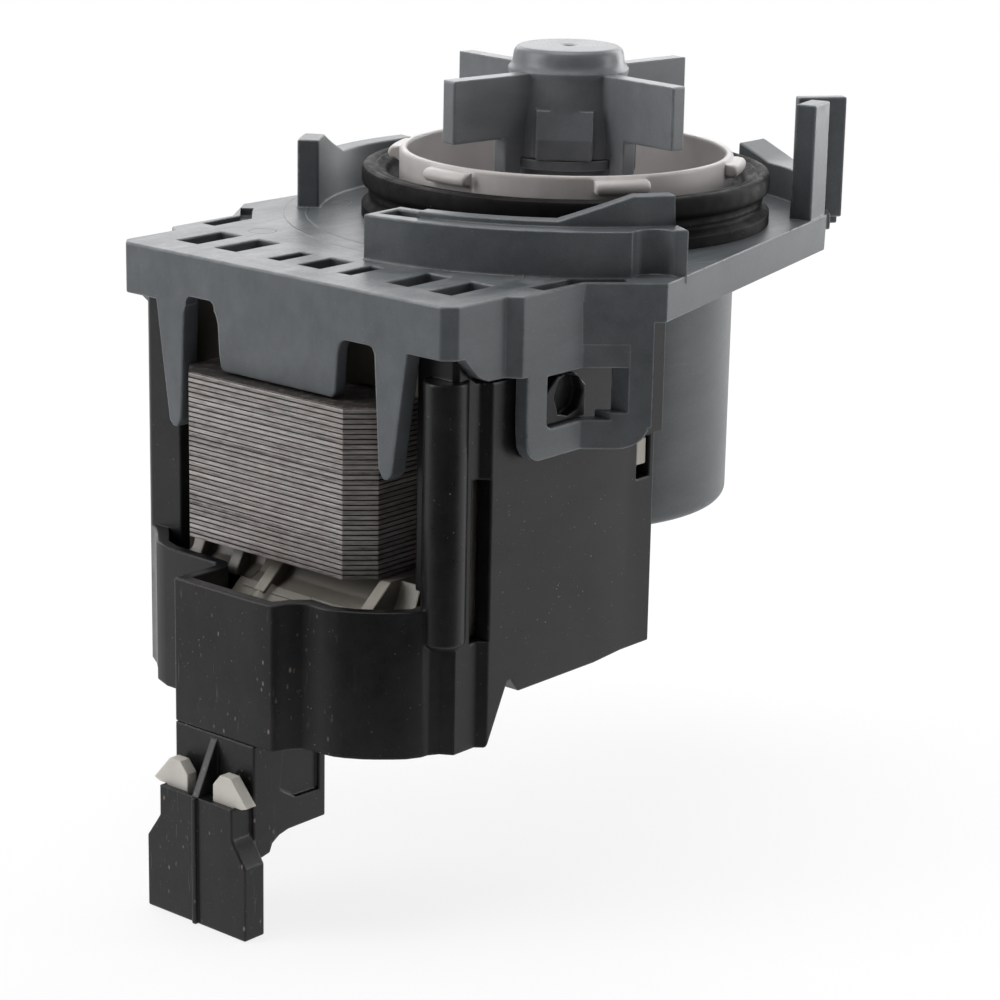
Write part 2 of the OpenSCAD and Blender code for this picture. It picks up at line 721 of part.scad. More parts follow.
module front_bearing() {
    sleeve_bearing(front_bearing_low);
}

module rear_bearing() {
    sleeve_bearing(rear_bearing_low);
}

module damper(z) {
    color(rubber) tube(damper_r, bearing_r + bond_gap, z, z + bearing_l);
}

module front_damper() {
    damper(front_bearing_low);
}

module rear_damper() {
    color(rubber) {
        damper(rear_bearing_low);
        tube(damper_r, bearing_r - 1.5, can_low + can_wall + eps, rear_bearing_low);
    }
}

module rotor_shaft() {
    chamfer = 0.4;
    color(steel) rotate_extrude() polygon([
        [0, shaft_low], [shaft_r - chamfer, shaft_low], [shaft_r, shaft_low + chamfer],
        [shaft_r, shaft_top - chamfer], [shaft_r - chamfer, shaft_top], [0, shaft_top]]);
}

module rotor_sleeve() {
    end_r = magnet_r - 1.6;
    color([0.9, 0.9, 0.88]) {
        tube(sleeve_r, shaft_r + bond_gap, sleeve_low, sleeve_top);
        tube(end_r, shaft_r + 1, magnet_top + eps, sleeve_top);
        tube(end_r, shaft_r + 1, sleeve_low, magnet_low - eps);
    }
}

module rotor_magnet() {
    color([0.2, 0.2, 0.21]) tube(magnet_r, sleeve_r + bond_gap, magnet_low, magnet_top);
}

module thrust_washer(z) {
    color([0.85, 0.75, 0.45]) tube(shaft_r + 2.2, shaft_r + bond_gap, z, z + washer_t);
}

module front_thrust_washer() {
    thrust_washer(sleeve_top + end_play);
}

module rear_thrust_washer() {
    thrust_washer(sleeve_low - end_play - washer_t);
}

// One half of the lost-motion coupling, a thick arm on the shaft
module drive_dog() {
    color(off_white) {
        tube(dog_hub_r, shaft_r + bond_gap, dog_low, dog_top);
        ring_sector(dog_hub_r - 0.4, chamber_r - dog_gap, 37.2 - dog_angle / 2, 37.2 + dog_angle / 2,
            dog_low, dog_top);
    }
}

// A vane with its deep inner part and its shallow outer part
module vane() {
    translate([0, vane_t / 2, 0]) rotate([90, 0, 0]) linear_extrude(vane_t)
        polygon([[chamber_r + 0.6, vane_top], [chamber_r + 0.6, chamber_low + 0.2],
            [base_disc_r + fit_gap, chamber_low + 0.2], [base_disc_r + fit_gap, impeller_low + 0.5],
            [vane_step_r, impeller_low + 3.3],
            [vane_step_r, vane_low], [vane_r, vane_low], [vane_r, vane_top]]);
}

module impeller() {
    dog_in_r = dog_hub_r + dog_gap;
    hook_low = chamber_low + 0.1;
    color(grey) difference() {
        union() {
            translate([0, 0, hook_low])
                cylinder(r1 = hub_wide_r, r2 = hub_narrow_r, h = vane_top - hook_low, $fn = 96);
            rotate_extrude($fn = 96) polygon([[0, vane_top - 1], [hub_narrow_r, vane_top - 1],
                [hub_collar_r, vane_top - 0.3], [hub_collar_r, vane_top + 0.2],
                    [hub_cap_r + 0.2, vane_top + 1],
                [hub_cap_r, hub_top - hub_edge], [hub_cap_r - 0.3, hub_top - 0.3],
                    [hub_cap_r - hub_edge, hub_top],
                [1.4, hub_top], [0, hub_top - 0.4]]);
            for (i = [0 : vane_count - 1])
                rotate([0, 0, vane_turn + i * 360 / vane_count]) vane();
            // Pads over the snap hooks of the base
            for (a = [37.2, 217.2])
                rotate([0, 0, a]) across(-hook_w / 2, hook_w / 2)
                    polygon([[chamber_r, 16.6], [hook_reach - 1.3, 16.6], [hook_reach, 12.7],
                        [hook_reach, hook_low], [chamber_r, hook_low]]);
        }
        difference() {
            translate([0, 0, hook_low - 1]) cylinder(r = chamber_r, h = chamber_top - hook_low + 1);
            ring_sector(dog_in_r, chamber_r + 1, 217.2 - dog_angle / 2, 217.2 + dog_angle / 2,
                dog_low, chamber_top + 1);
        }
        cylinder(r = shaft_r + run_gap, h = shaft_top + end_play);
    }
}

// Disc that closes the impeller's hub from below and runs on the shaft
module impeller_base() {
    disc_top = chamber_low;
    color(grey) {
        tube(base_disc_r, shaft_r + run_gap, disc_top - base_disc_t, disc_top);
        tube(base_low_r, shaft_r + run_gap, impeller_low, disc_top - base_disc_t);
        tube(chamber_r - seat_gap, chamber_r - 1.2, disc_top, dog_low - 0.1);
    }
}

// Plan of one steel sheet: a yoke and two legs round the rotor can
module sheet_plan(inset_by) {
    d = inset_by;
    difference() {
        polygon([[-core_reach + d, -leg_out + core_chamfer + d * 0.4],
            [-core_reach + core_chamfer + d * 0.4, -leg_out + d], [leg_reach - d, -leg_out + d],
            [leg_reach - d, leg_out - d], [-core_reach + core_chamfer + d * 0.4, leg_out - d],
            [-core_reach + d, leg_out - core_chamfer - d * 0.4]]);
        translate([yoke_in - d, -leg_in - d]) square([leg_reach - yoke_in + 1, 2 * (leg_in + d)]);
        circle(r = core_bore_r + d, $fn = 96);
    }
}

module stator_core() {
    color(steel) {
        flat(core_low + eps, core_top - eps) sheet_plan(sheet_groove);
        for (i = [0 : core_sheets - 1])
            translate([0, 0, core_low + (i + (1 - sheet_fill) / 2) * sheet_pitch])
                linear_extrude(sheet_pitch * sheet_fill) sheet_plan(0);
    }
}

tube_gap = 0.15;
tube_in_y = leg_in - tube_gap - bobbin_wall;
tube_out_y = leg_out + tube_gap + bobbin_wall;
tube_top = core_top + tube_gap + bobbin_wall;
tube_low = core_low - tube_gap - bobbin_wall;
flange_front = yoke_in + fit_gap;
flange_back = -shroud_r - 0.8;
flange_top = tube_top + winding_t + 1.4;
flange_low = tube_low - winding_t - 1.4;

module leg_hole() {
    block([flange_front - 1, flange_back + 1], [leg_in - tube_gap, leg_out + tube_gap],
        [core_low - tube_gap, core_top + tube_gap]);
}

// Twin spool with a tray and slanted ribs under the yoke
module bobbin() {
    tray_low = core_low - 5;
    tray_front = -core_reach - 1.5;
    far_front = -core_reach + 1.3;
    rib_t = 2;
    rib_top_x = far_front + 2.6;
    scoop = 1.2;
    lip = 3.6;
    arm_out_y = end_half_w - cover_wall - 0.2;
    color(off_white) {
        difference() {
            union() {
                both_sides()
                    block([flange_front, flange_back], [tube_in_y, tube_out_y], [tube_low, tube_top]);
                block([flange_front, flange_front + flange_t], [-flange_half_w, flange_half_w],
                    [flange_low, flange_top]);
                block([flange_back - flange_t, flange_back], [-flange_half_w, flange_half_w],
                    [flange_low, flange_top]);
            }
            both_sides() leg_hole();
        }
        flat(tray_low, tray_low + 1.3) polygon([[tray_front + lip, -19], [flange_front + eps, -19],
            [flange_front + eps, 19], [far_front + lip, 19], [far_front + lip, 6], [tray_front + lip, 4]]);
        // Scooped front wall and its slanted ribs, further out on the latch side
        for (side = [[-18.8, 4, tray_front], [4 - eps, 18.8, far_front]])
            across(side[0], side[1]) polygon([[side[2] + scoop, tray_low + 0.3],
                [(side[2] + rib_top_x) / 2 + scoop + 0.8, tray_low + 1.9],
                [rib_top_x + scoop + 0.4, core_low - fit_gap], [rib_top_x + 3, core_low - fit_gap],
                [rib_top_x + 3, tray_low + 0.3]]);
        for (rib = [[-18.8, tray_front], [0, tray_front], [8.2, far_front], [15.8, far_front]])
            across(rib[0] - rib_t / 2, rib[0] + rib_t / 2)
                polygon([[rib[1] + 0.2, tray_low + 0.6], [rib_top_x, core_low - 0.05],
                    [flange_front + eps, core_low - 0.05], [flange_front + eps, tray_low + 0.6]]);
        // Latch arms seen through the cover's side holes
        both_sides() block([flange_back - eps, bobbin_hole_x[1] - 0.2],
            [-arm_out_y, -arm_out_y + 1.2], [bobbin_hole_z[0] + 0.8, bobbin_hole_z[1] - 0.2]);
        both_sides() block([flange_back - flange_t, flange_back], [-arm_out_y, -flange_half_w + 3],
            [bobbin_hole_z[0] + 0.8, bobbin_hole_z[1] - 0.2]);
        both_sides() block([bobbin_hole_x[0] + 0.3, bobbin_hole_x[1] - 0.3],
            [-end_half_w + 0.4, -arm_out_y + 0.6], [bobbin_hole_z[0] + 1.8, bobbin_hole_z[1] - 0.3]);
    }
}

module coil(side) {
    gap = 0.1;
    x0 = flange_front + flange_t + gap;
    x1 = flange_back - flange_t - gap;
    color(copper) mirror([0, side < 0 ? 1 : 0, 0]) difference() {
        translate([x0, 0, 0]) rotate([90, 0, 90]) linear_extrude(x1 - x0) union() {
            translate([tube_in_y - winding_t + 1.5, tube_low - winding_t])
                square([tube_out_y - tube_in_y + 2 * winding_t - 3, tube_top - tube_low + 2 * winding_t]);
            translate([tube_in_y - winding_t, tube_low - winding_t + 1.5])
                square([tube_out_y - tube_in_y + 2 * winding_t, tube_top - tube_low + 2 * winding_t - 3]);
            for (y = [tube_in_y - winding_t + 1.5, tube_out_y + winding_t - 1.5],
                 z = [tube_low - winding_t + 1.5, tube_top + winding_t - 1.5])
                translate([y, z]) circle(r = 1.5);
        }
        block([x0 - 1, x1 + 1], [tube_in_y - gap, tube_out_y + gap], [tube_low - gap, tube_top + gap]);
    }
}

module coil_near() {
    coil(-1);
}

module coil_far() {
    coil(1);
}

// Straight piece of insulated wire between two points
module wire(a, b) {
    v = b - a;
    translate(a) rotate([0, acos(v[2] / norm(v)), atan2(v[1], v[0])])
        cylinder(r = lead_r, h = norm(v), $fn = 24);
}

blade_top = -band_low + 6;
lead_floor = -cover_low + 2 + cover_wall + lead_r + fit_gap;
lead_x = flange_front + flange_t + 3;

module winding_leads() {
    color([0.75, 0.1, 0.1]) both_sides() {
        low = [-cover_front + 7.5, blade_y, lead_floor];
        turn = [lead_x, blade_y, lead_floor];
        up = [lead_x, blade_y, tube_low - winding_t - 0.1];
        wire(low, turn);
        wire(turn, up);
        translate(turn) sphere(r = lead_r, $fn = 24);
        wire(low, [low[0], low[1], blade_top + 0.1]);
        translate(low) sphere(r = lead_r, $fn = 24);
    }
}

// Flat tin-plated blades: down the neck, forward, and down into the plug
module terminal_blades() {
    run = -neck_low + 3.4;
    up_x = -cover_front + 7.5;
    narrow = [blade_y - 1.5, riser_half_w - cover_wall - fit_gap];
    color([0.78, 0.78, 0.74]) both_sides() {
        block([blade_x - blade_t / 2, blade_x + blade_t / 2],
            [blade_y - blade_w / 2, blade_y + blade_w / 2], [-plug_low + 1.6, -plug_shoulder_low - 0.6]);
        block([blade_x - blade_t / 2, blade_x + blade_t / 2],
            narrow, [-plug_shoulder_low - 0.7, run + blade_t]);
        block([blade_x, up_x + blade_t / 2], narrow,
            [run, run + blade_t]);
        block([up_x - blade_t / 2, up_x + blade_t / 2], narrow,
            [run, blade_top]);
    }
}

// Two white wedges that lock the blades, seen above the plug
module terminal_carrier() {
    tip_top = 66.3;
    root = neck_low - 3.4 - blade_t - 0.1;
    color(off_white) both_sides()
        along(blade_x - carrier_t / 2, blade_x + carrier_t / 2)
            polygon([[2.5, -root], [2.5, -tip_top - 1.6], [3.9, -tip_top], [5.9, -tip_top],
                [9, -tip_top - 3.5], [8, -plug_high + eps], [blade_y + cavity_w / 2 - 1.8, -plug_high],
                [blade_y + cavity_w / 2 - 1.8, -root]]);
}

// Side view of the cover's outside
module cover_profile() {
    side_top = cover_top + 3.8;
    polygon([[-cover_front - 1, -band_low], [band_end, -band_low], [band_end + 4.1, -cover_low + 2],
        [band_end + 4.9, -cover_low + 2], [band_end + 6.5, -cover_low], [-cover_end, -cover_low],
        [-cover_end, -end_step_low], [-cover_end + end_step, -end_step_low],
        [-cover_end + end_step, -cover_inner_top], [side_top_x, -cover_inner_top],
        [side_top_x, -side_top], [band_end - 1.7, -side_top], [band_end - 4.2, -cover_top - 2],
        [-col_front, -cover_top],
        [-col_front, -band_high], [-cover_front - 1, -band_high]]);
}

// Side view of the cover's inside, open at the top
module cover_room() {
    w = cover_wall;
    polygon([[-cover_front - 1, -band_low + w], [band_end - 0.6, -band_low + w],
        [band_end + 3.1, -cover_low + 2 + w], [band_end + 5.5, -cover_low + 2 + w],
        [band_end + 7.1, -cover_low + w],
        [-cover_end - w + 1, -cover_low + w], [-cover_end - w + 1, 1], [-cover_front - 1, 1]]);
}

module motor_cover() {
    side_cut = cover_wall + 3.2;
    duct_half_w = riser_half_w - 1.6;
    color(black) difference() {
        union() {
            difference() {
                intersection() {
                    flat(-band_low - 1, 0) polygon(cover_outline);
                    across(-40, 40) cover_profile();
                }
                intersection() {
                    flat(-band_low, 2) polygon(cover_inline);
                    across(-40, 40) cover_room();
                }
            }
            cover_side_details();
        }
        // Room for the pole shroud and the core's legs
        translate([0, 0, shroud_low - 0.6]) cylinder(r = shroud_r + 0.5, h = 60, $fn = 128);
        // Duct into the plug housing
        block([-cover_front + cover_wall + 0.6, -neck_back - 2], [-duct_half_w, duct_half_w],
            [-band_low - 1, -band_low + cover_wall + 1]);
        both_sides() {
            block(slot_cover_x, [-cover_half_w - 1, -cover_half_w + side_cut], slot_cover_z);
            block(bobbin_hole_x, [-cover_half_w - 1, -cover_half_w + side_cut], bobbin_hole_z);
        }
    }
}

// Columns beside the core, the half-round pilaster and the latch nubs
module cover_side_details() {
    pilaster = [band_end - 5.6, -27.4];
    pilaster_r = 3;
    pilaster_low = -46.2;
    pilaster_top = -10.6;
    nub_hole = [nub_x[1] - 3.7, -15];
    nub_hole_r = 3;
    both_sides() block([-col_front, -col_front + cover_wall], [-28, -col_in_y], [-band_high - 3, -cover_top]);
    translate([pilaster[0], pilaster[1], pilaster_low])
        cylinder(r = pilaster_r, h = pilaster_top - pilaster_low);
    translate([pilaster[0], pilaster[1], pilaster_low - 1])
        cylinder(r1 = pilaster_r - 1.2, r2 = pilaster_r, h = 1);
    both_sides() difference() {
        across(-cover_half_w - nub_t, -cover_half_w + 1) polygon([[nub_x[0], -window_low + 0.3],
            [nub_x[1], -window_low + 0.3], [nub_x[1], -window_high - 2.6],
                [nub_x[1] - 2.4, -window_high - 0.6],
            [nub_x[0] + 2.4, -window_high - 0.6], [nub_x[0], -window_high - 2.6]]);
        translate([nub_hole[0], -cover_half_w + 0.1, nub_hole[1]])
            rotate([90, 0, 0]) cylinder(r = nub_hole_r, h = nub_t + 2, $fn = 8);
    }
}

// Cheek of the neck, seen from the side
module neck_profile() {
    polygon([[-cover_front, -band_low - 0.05], [-neck_back, -band_low - 0.05], [-neck_back, -neck_low],
        [-cover_front + 6.7, -neck_low], [-cover_front + 4.9, -neck_low - 0.4],
        [-cover_front + 3.6, -neck_low - 1.2], [-cover_front + 3.1, -neck_low - 2.4],
        [-cover_front, -neck_low - 3]]);
}

// Front view of the plug
module plug_profile() {
    polygon([[-plug_half_w, -plug_low], [plug_half_w, -plug_low], [plug_half_w, -plug_shoulder_low - 0.6],
        [plug_half_w - 0.7, -plug_shoulder_low + 0.4], [plug_top_half_w + 0.6, -plug_shoulder_high - 0.9],
        [plug_top_half_w, -plug_shoulder_high], [plug_top_half_w, -plug_high], [-plug_top_half_w, -plug_high],
        [-plug_top_half_w, -plug_shoulder_high], [-plug_top_half_w - 0.6, -plug_shoulder_high - 0.9],
        [-plug_half_w + 0.7, -plug_shoulder_low + 0.4], [-plug_half_w, -plug_shoulder_low - 0.6]]);
}

module connector_housing() {
    rib_t = 0.8;
    rib_out = 0.5;
    web_t = 1.2;
    duct_y = [blade_y - 2.2, blade_y + 2.2];
    color(black) difference() {
        union() {
            across(-riser_half_w, riser_half_w) neck_profile();
            along(-plug_front, -cover_front + eps) plug_profile();
            block([-plug_front - rib_out, -plug_front + eps], [-rib_t / 2, rib_t / 2],
                [-plug_low, -plug_high]);
            across(-web_t / 2, web_t / 2) polygon([[-cover_front + eps, -band_low - 0.6],
                [-plug_front, -plug_high], [-cover_front + eps, -plug_high]]);
        }
        // One cavity for each blade, open downwards and upwards
        both_sides() block([blade_x - cavity_t / 2, blade_x + cavity_t / 2],
            [cavity_in_y, cavity_in_y + cavity_w], [-plug_low - 1, -plug_shoulder_low]);
        both_sides() block([blade_x - cavity_t / 2, blade_x + cavity_t / 2],
            [cavity_in_y + 0.9, plug_top_half_w - 0.5], [-plug_shoulder_low - 1, -plug_high + 1]);
        // Duct for the blades through the neck
        both_sides() block([blade_x, -cover_front + 9], duct_y, [-neck_low + 2.8, -neck_low + 4.8]);
        block([-cover_front + 5.6, -neck_back - neck_wall - 1], [-riser_half_w + 1.6, riser_half_w - 1.6],
            [-neck_low + 2.8, -band_low + 1]);
        // Recessed side panels
        both_sides() across(-riser_half_w - 1, -riser_half_w + 0.6)
            polygon([[-neck_back - 1.2, -band_low - 1.2],
            [-neck_back - 1.2, -neck_low + 4.2], [-cover_front + 8.1, -neck_low + 4.4],
            [-cover_front + 5.1, -neck_low + 6.2], [-cover_front + 5.9, -band_low - 1.2]]);
    }
}

flange_plate();
rotor_can();
can_o_ring();
sump_seal();
bearing_cap();
front_bearing();
front_damper();
rear_bearing();
rear_damper();
rotor_shaft();
rotor_sleeve();
rotor_magnet();
front_thrust_washer();
rear_thrust_washer();
drive_dog();
impeller();
impeller_base();
stator_core();
bobbin();
coil_near();
coil_far();
winding_leads();
terminal_blades();
terminal_carrier();
motor_cover();
connector_housing();
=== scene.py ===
import json
import math

import bmesh
import bpy
from mathutils import Matrix, Vector
from mathutils.bvhtree import BVHTree

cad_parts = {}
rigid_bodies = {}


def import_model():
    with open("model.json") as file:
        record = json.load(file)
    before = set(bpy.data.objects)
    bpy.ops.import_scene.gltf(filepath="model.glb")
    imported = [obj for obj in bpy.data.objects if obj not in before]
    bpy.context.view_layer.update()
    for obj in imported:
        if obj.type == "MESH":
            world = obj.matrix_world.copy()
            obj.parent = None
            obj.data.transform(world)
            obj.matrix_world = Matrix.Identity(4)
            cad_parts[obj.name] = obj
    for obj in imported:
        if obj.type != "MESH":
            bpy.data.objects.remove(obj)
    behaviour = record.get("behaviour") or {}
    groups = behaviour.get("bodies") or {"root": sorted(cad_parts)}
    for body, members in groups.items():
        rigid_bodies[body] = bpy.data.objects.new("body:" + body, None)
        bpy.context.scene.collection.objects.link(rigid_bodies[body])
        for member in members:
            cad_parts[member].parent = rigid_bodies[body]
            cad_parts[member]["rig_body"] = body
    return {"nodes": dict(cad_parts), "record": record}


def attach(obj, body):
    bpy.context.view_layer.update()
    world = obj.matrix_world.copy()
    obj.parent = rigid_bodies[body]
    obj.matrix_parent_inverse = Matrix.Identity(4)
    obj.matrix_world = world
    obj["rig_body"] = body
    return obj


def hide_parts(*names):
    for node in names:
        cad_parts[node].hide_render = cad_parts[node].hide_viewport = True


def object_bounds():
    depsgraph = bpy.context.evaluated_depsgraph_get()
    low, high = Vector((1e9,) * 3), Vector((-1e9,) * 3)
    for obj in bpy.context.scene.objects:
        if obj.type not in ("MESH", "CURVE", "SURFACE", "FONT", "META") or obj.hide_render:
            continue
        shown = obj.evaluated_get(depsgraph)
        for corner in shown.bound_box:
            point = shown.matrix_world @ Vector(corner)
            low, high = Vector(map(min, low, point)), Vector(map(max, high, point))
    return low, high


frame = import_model()
CAD_BOX = [list(c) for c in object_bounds()]
MM = 0.001

# The photograph's viewpoint, in mm and degrees: the heading is measured from +Y towards +X
CAMERA_AT = (-345.8, -282.21, 83.9)
CAMERA_HEADING = 49.661
CAMERA_DOWN = 15.999
CAMERA_ROLL = -1.124
CAMERA_LENS = 110.25
CAMERA_SENSOR = 36

# The level direction that the camera looks in: the studio is bright that way and dark behind the camera
AWAY = (0.762, 0.647, 0)
# The floor: half its side in m, and how far under the pump it lies in mm
FLOOR_HALF = 6
FLOOR_GAP = 0.05
# Where the dark card by the camera fades out along that direction, and where the floor turns white, in m
CARD_FADE = (-0.19, -0.04)
WHITE_FADE = (0.2, 0.6)

# Each lamp: its place in mm, its width and height in m, and its power in W
LAMPS = {
    "key": ((-720, 520, 330), (0.45, 0.7), 4.6),
    "top": ((-40, 40, 760), (0.5, 0.5), 3.3),
    "back": ((560, 520, 330), (1.0, 0.5), 2.7),
    "side": ((520, -620, 80), (0.25, 0.7), 2.4),
    "rim": ((640, -60, 40), (0.25, 0.8), 3.0),
}
LAMP_AIM = (-20, 0, -30)

# The core's sheets lie 0.693 mm apart, and this many of them would make a metre
SHEETS_PER_METRE = 1443
# The flat top of the impeller's cap lies between these heights in mm, and the front of the cover's box
# between these places on X
CAP_TOP = (24.3, 24.6)
BOX_FRONT = (-66, -71)
# A shaded round starts and is full where the rounded and the flat normal have these cosines between them
NEAR_EDGE = (0.985, 0.86)

# Rounding of moulded edges: the faces across each round, how many times the edges beside a fold are
# taken out, and how near to the fold, in widths of the round, the first time
ROUND_FACES = 2
ROUND_TRIES = 9
ROUND_REACH = 1.6
# The wide rounds at the skirt's corners, in mm, and the least angle of such an edge in degrees
CORNER_FACES = 5
CORNER_RADIUS = 1.0
CORNER_ANGLE = 50
# Points of a node that are one point, in mm, and faces that are one face, in degrees
SAME_POINT = 0.002
FLAT_ANGLE = 0.5
# A face has gone wrong past this share of the round's width, or where it faces away from the old
# surface. Slivers smaller than this in square metres are passed over.
STRAY_SHARE = 0.75
TURNED_OVER = 0.1
SLIVER = 2e-10

# The corner edges of the front skirt's notches and flap, in mm: how thick the skirt is at least,
# how far forward and to either side they lie, and between which heights
SKIRT_WALL = 1.2
SKIRT_BACK = -50
SKIRT_HALF = 24
SKIRT_FOOT = -24
SKIRT_HEAD = -5
STRAIGHT = 0.3

# The bobbin's aprons: their wall in mm, and their columns and rows of faces
APRON_WALL = 1.3
APRON_COLUMNS = 56
APRON_ROWS = 12
# Where the front aprons leave the tray, as (x, z) in mm
TRAY_LIP = (-61.9, -43.1)


def place_camera():
    """Stands the camera where the photograph was taken from."""
    heading, down, roll = (math.radians(a) for a in (CAMERA_HEADING, CAMERA_DOWN, CAMERA_ROLL))
    level = math.cos(down)
    ahead = Vector((math.sin(heading) * level, math.cos(heading) * level, -math.sin(down)))
    right = Vector((math.cos(heading), -math.sin(heading), 0))
    low = ahead.cross(right)
    side = math.cos(roll) * right + math.sin(roll) * low
    low = -math.sin(roll) * right + math.cos(roll) * low
    cam = bpy.data.objects.new("camera", bpy.data.cameras.new("camera"))
    cam.data.sensor_width = CAMERA_SENSOR
    cam.data.lens = CAMERA_LENS
    cam.data.clip_start = 0.01
    cam.data.clip_end = 20
    turn = Matrix((side, -low, -ahead)).transposed()
    cam.matrix_world = Matrix.Translation(Vector(CAMERA_AT) * MM) @ turn.to_4x4()
    bpy.context.scene.collection.objects.link(cam)
    bpy.context.scene.camera = cam


class Tree:
    """Builds one material's nodes. A value is a number, a tuple or another node's output.

    Scales of noise and cells are per metre: 70 makes clouds some 14 mm wide, 5200 flecks of 0.2 mm.
    """

    def __init__(self, name):
        self.mat = bpy.data.materials.new(name)
        self.mat.use_nodes = True
        self.tree = self.mat.node_tree
        self.tree.nodes.clear()
        self.out = self.tree.nodes.new("ShaderNodeOutputMaterial")
        self.place = self.add("ShaderNodeTexCoord").outputs["Object"]

    def put(self, value, socket):
        if isinstance(value, bpy.types.NodeSocket):
            self.tree.links.new(value, socket)
        else:
            socket.default_value = value

    def add(self, kind, ins=None, **props):
        n = self.tree.nodes.new(kind)
        for k, v in props.items():
            setattr(n, k, v)
        for k, v in (ins or {}).items():
            self.put(v, n.inputs[k])
        return n

    def math(self, op, a, b=0.0):
        return self.add("ShaderNodeMath", {0: a, 1: b}, operation=op).outputs[0]

    def times(self, *values):
        """The product of two or more values."""
        product = values[0]
        for v in values[1:]:
            product = self.math("MULTIPLY", product, v)
        return product

    def plus(self, a, b):
        return self.math("ADD", a, b)

    def vector(self, op, a, b=None):
        ins = {0: a} if b is None else {0: a, 1: b}
        return self.add("ShaderNodeVectorMath", ins, operation=op).outputs["Value"]

    def axes(self, vector):
        """The three parts of a vector, one for each axis."""
        return tuple(self.add("ShaderNodeSeparateXYZ", {0: vector}).outputs)

    def ramp(self, x, lo, hi, to_lo=0.0, to_hi=1.0, smooth=False):
        """x from lo to hi, laid out from to_lo to to_hi and held at the ends."""
        kind = "SMOOTHSTEP" if smooth else "LINEAR"
        ins = {"Value": x, "From Min": lo, "From Max": hi, "To Min": to_lo, "To Max": to_hi}
        return self.add("ShaderNodeMapRange", ins, interpolation_type=kind).outputs["Result"]

    def stretch(self, sx, sy, sz):
        """The object's own coordinates with a scale for each axis, for marks that run one way."""
        return self.add("ShaderNodeMapping", {"Vector": self.place, "Scale": (sx, sy, sz)}).outputs[0]

    def noise(self, scale, detail, rough, at=None, warp=0.0):
        ins = {"Vector": at or self.place, "Scale": scale, "Detail": detail, "Roughness": rough}
        return self.add("ShaderNodeTexNoise", {**ins, "Distortion": warp}).outputs["Fac"]

    def cells(self, scale, at=None):
        """How far a point is from the middle of its cell, for grains and lint."""
        ins = {"Vector": at or self.place, "Scale": scale}
        return self.add("ShaderNodeTexVoronoi", ins, feature="F1").outputs["Distance"]

    def mix(self, fac, a, b):
        """Colour a where fac is 0 and colour b where it is 1."""
        n = self.add("ShaderNodeMix", {"Factor": fac}, data_type="RGBA", blend_type="MIX")
        for socket, v in ((n.inputs[6], a), (n.inputs[7], b)):
            self.put(v if isinstance(v, bpy.types.NodeSocket) else (*v, 1), socket)
        return n.outputs[2]

    def openness(self, distance, samples, **props):
        """1 on an open face, down to 0 in a hollow narrower than the distance."""
        ins = {"Distance": distance}
        return self.add("ShaderNodeAmbientOcclusion", ins, samples=samples, **props).outputs["AO"]

    def round_edges(self, radius):
        """(rounded normal, how near an edge this point is, how clear it is of other faces)"""
        soft = self.add("ShaderNodeBevel", {"Radius": radius}, samples=4).outputs[0]
        flat = self.add("ShaderNodeNewGeometry").outputs["Normal"]
        near = self.ramp(self.vector("DOT_PRODUCT", soft, flat), *NEAR_EDGE)
        return soft, near, self.openness(2.5 * MM, 4, only_local=True)

    def bump(self, height, strength, distance, normal=None):
        ins = {"Height": height, "Strength": strength, "Distance": distance}
        if normal is not None:
            ins["Normal"] = normal
        return self.add("ShaderNodeBump", ins).outputs[0]

    def surface(self, shader):
        self.tree.links.new(shader, self.out.inputs["Surface"])
        return self.mat

    def finish(self, **ins):
        """Ends the material with a Principled shader; a name's underscores stand for spaces."""
        named = {k.replace("_", " "): v for k, v in ins.items()}
        return self.surface(self.add("ShaderNodeBsdfPrincipled", named).outputs[0])


def srgb(r, g, b):
    """A colour written as it shows on screen, 0 to 255."""
    lin = [((c / 255 + 0.055) / 1.055) ** 2.4 if c > 10 else c / 255 / 12.92 for c in (r, g, b)]
    return tuple(lin)


def blend_of(a, b, k):
    """The colour that lies k of the way from a to b."""
    return tuple(x + (y - x) * k for x, y in zip(a, b))


BLACK = (0, 0, 0)
# The dark brown of the painted shade in deep hollows
HOLLOW_SHADE_TINT = (0.05, 0.042, 0.034)
DUST = srgb(205, 202, 196)


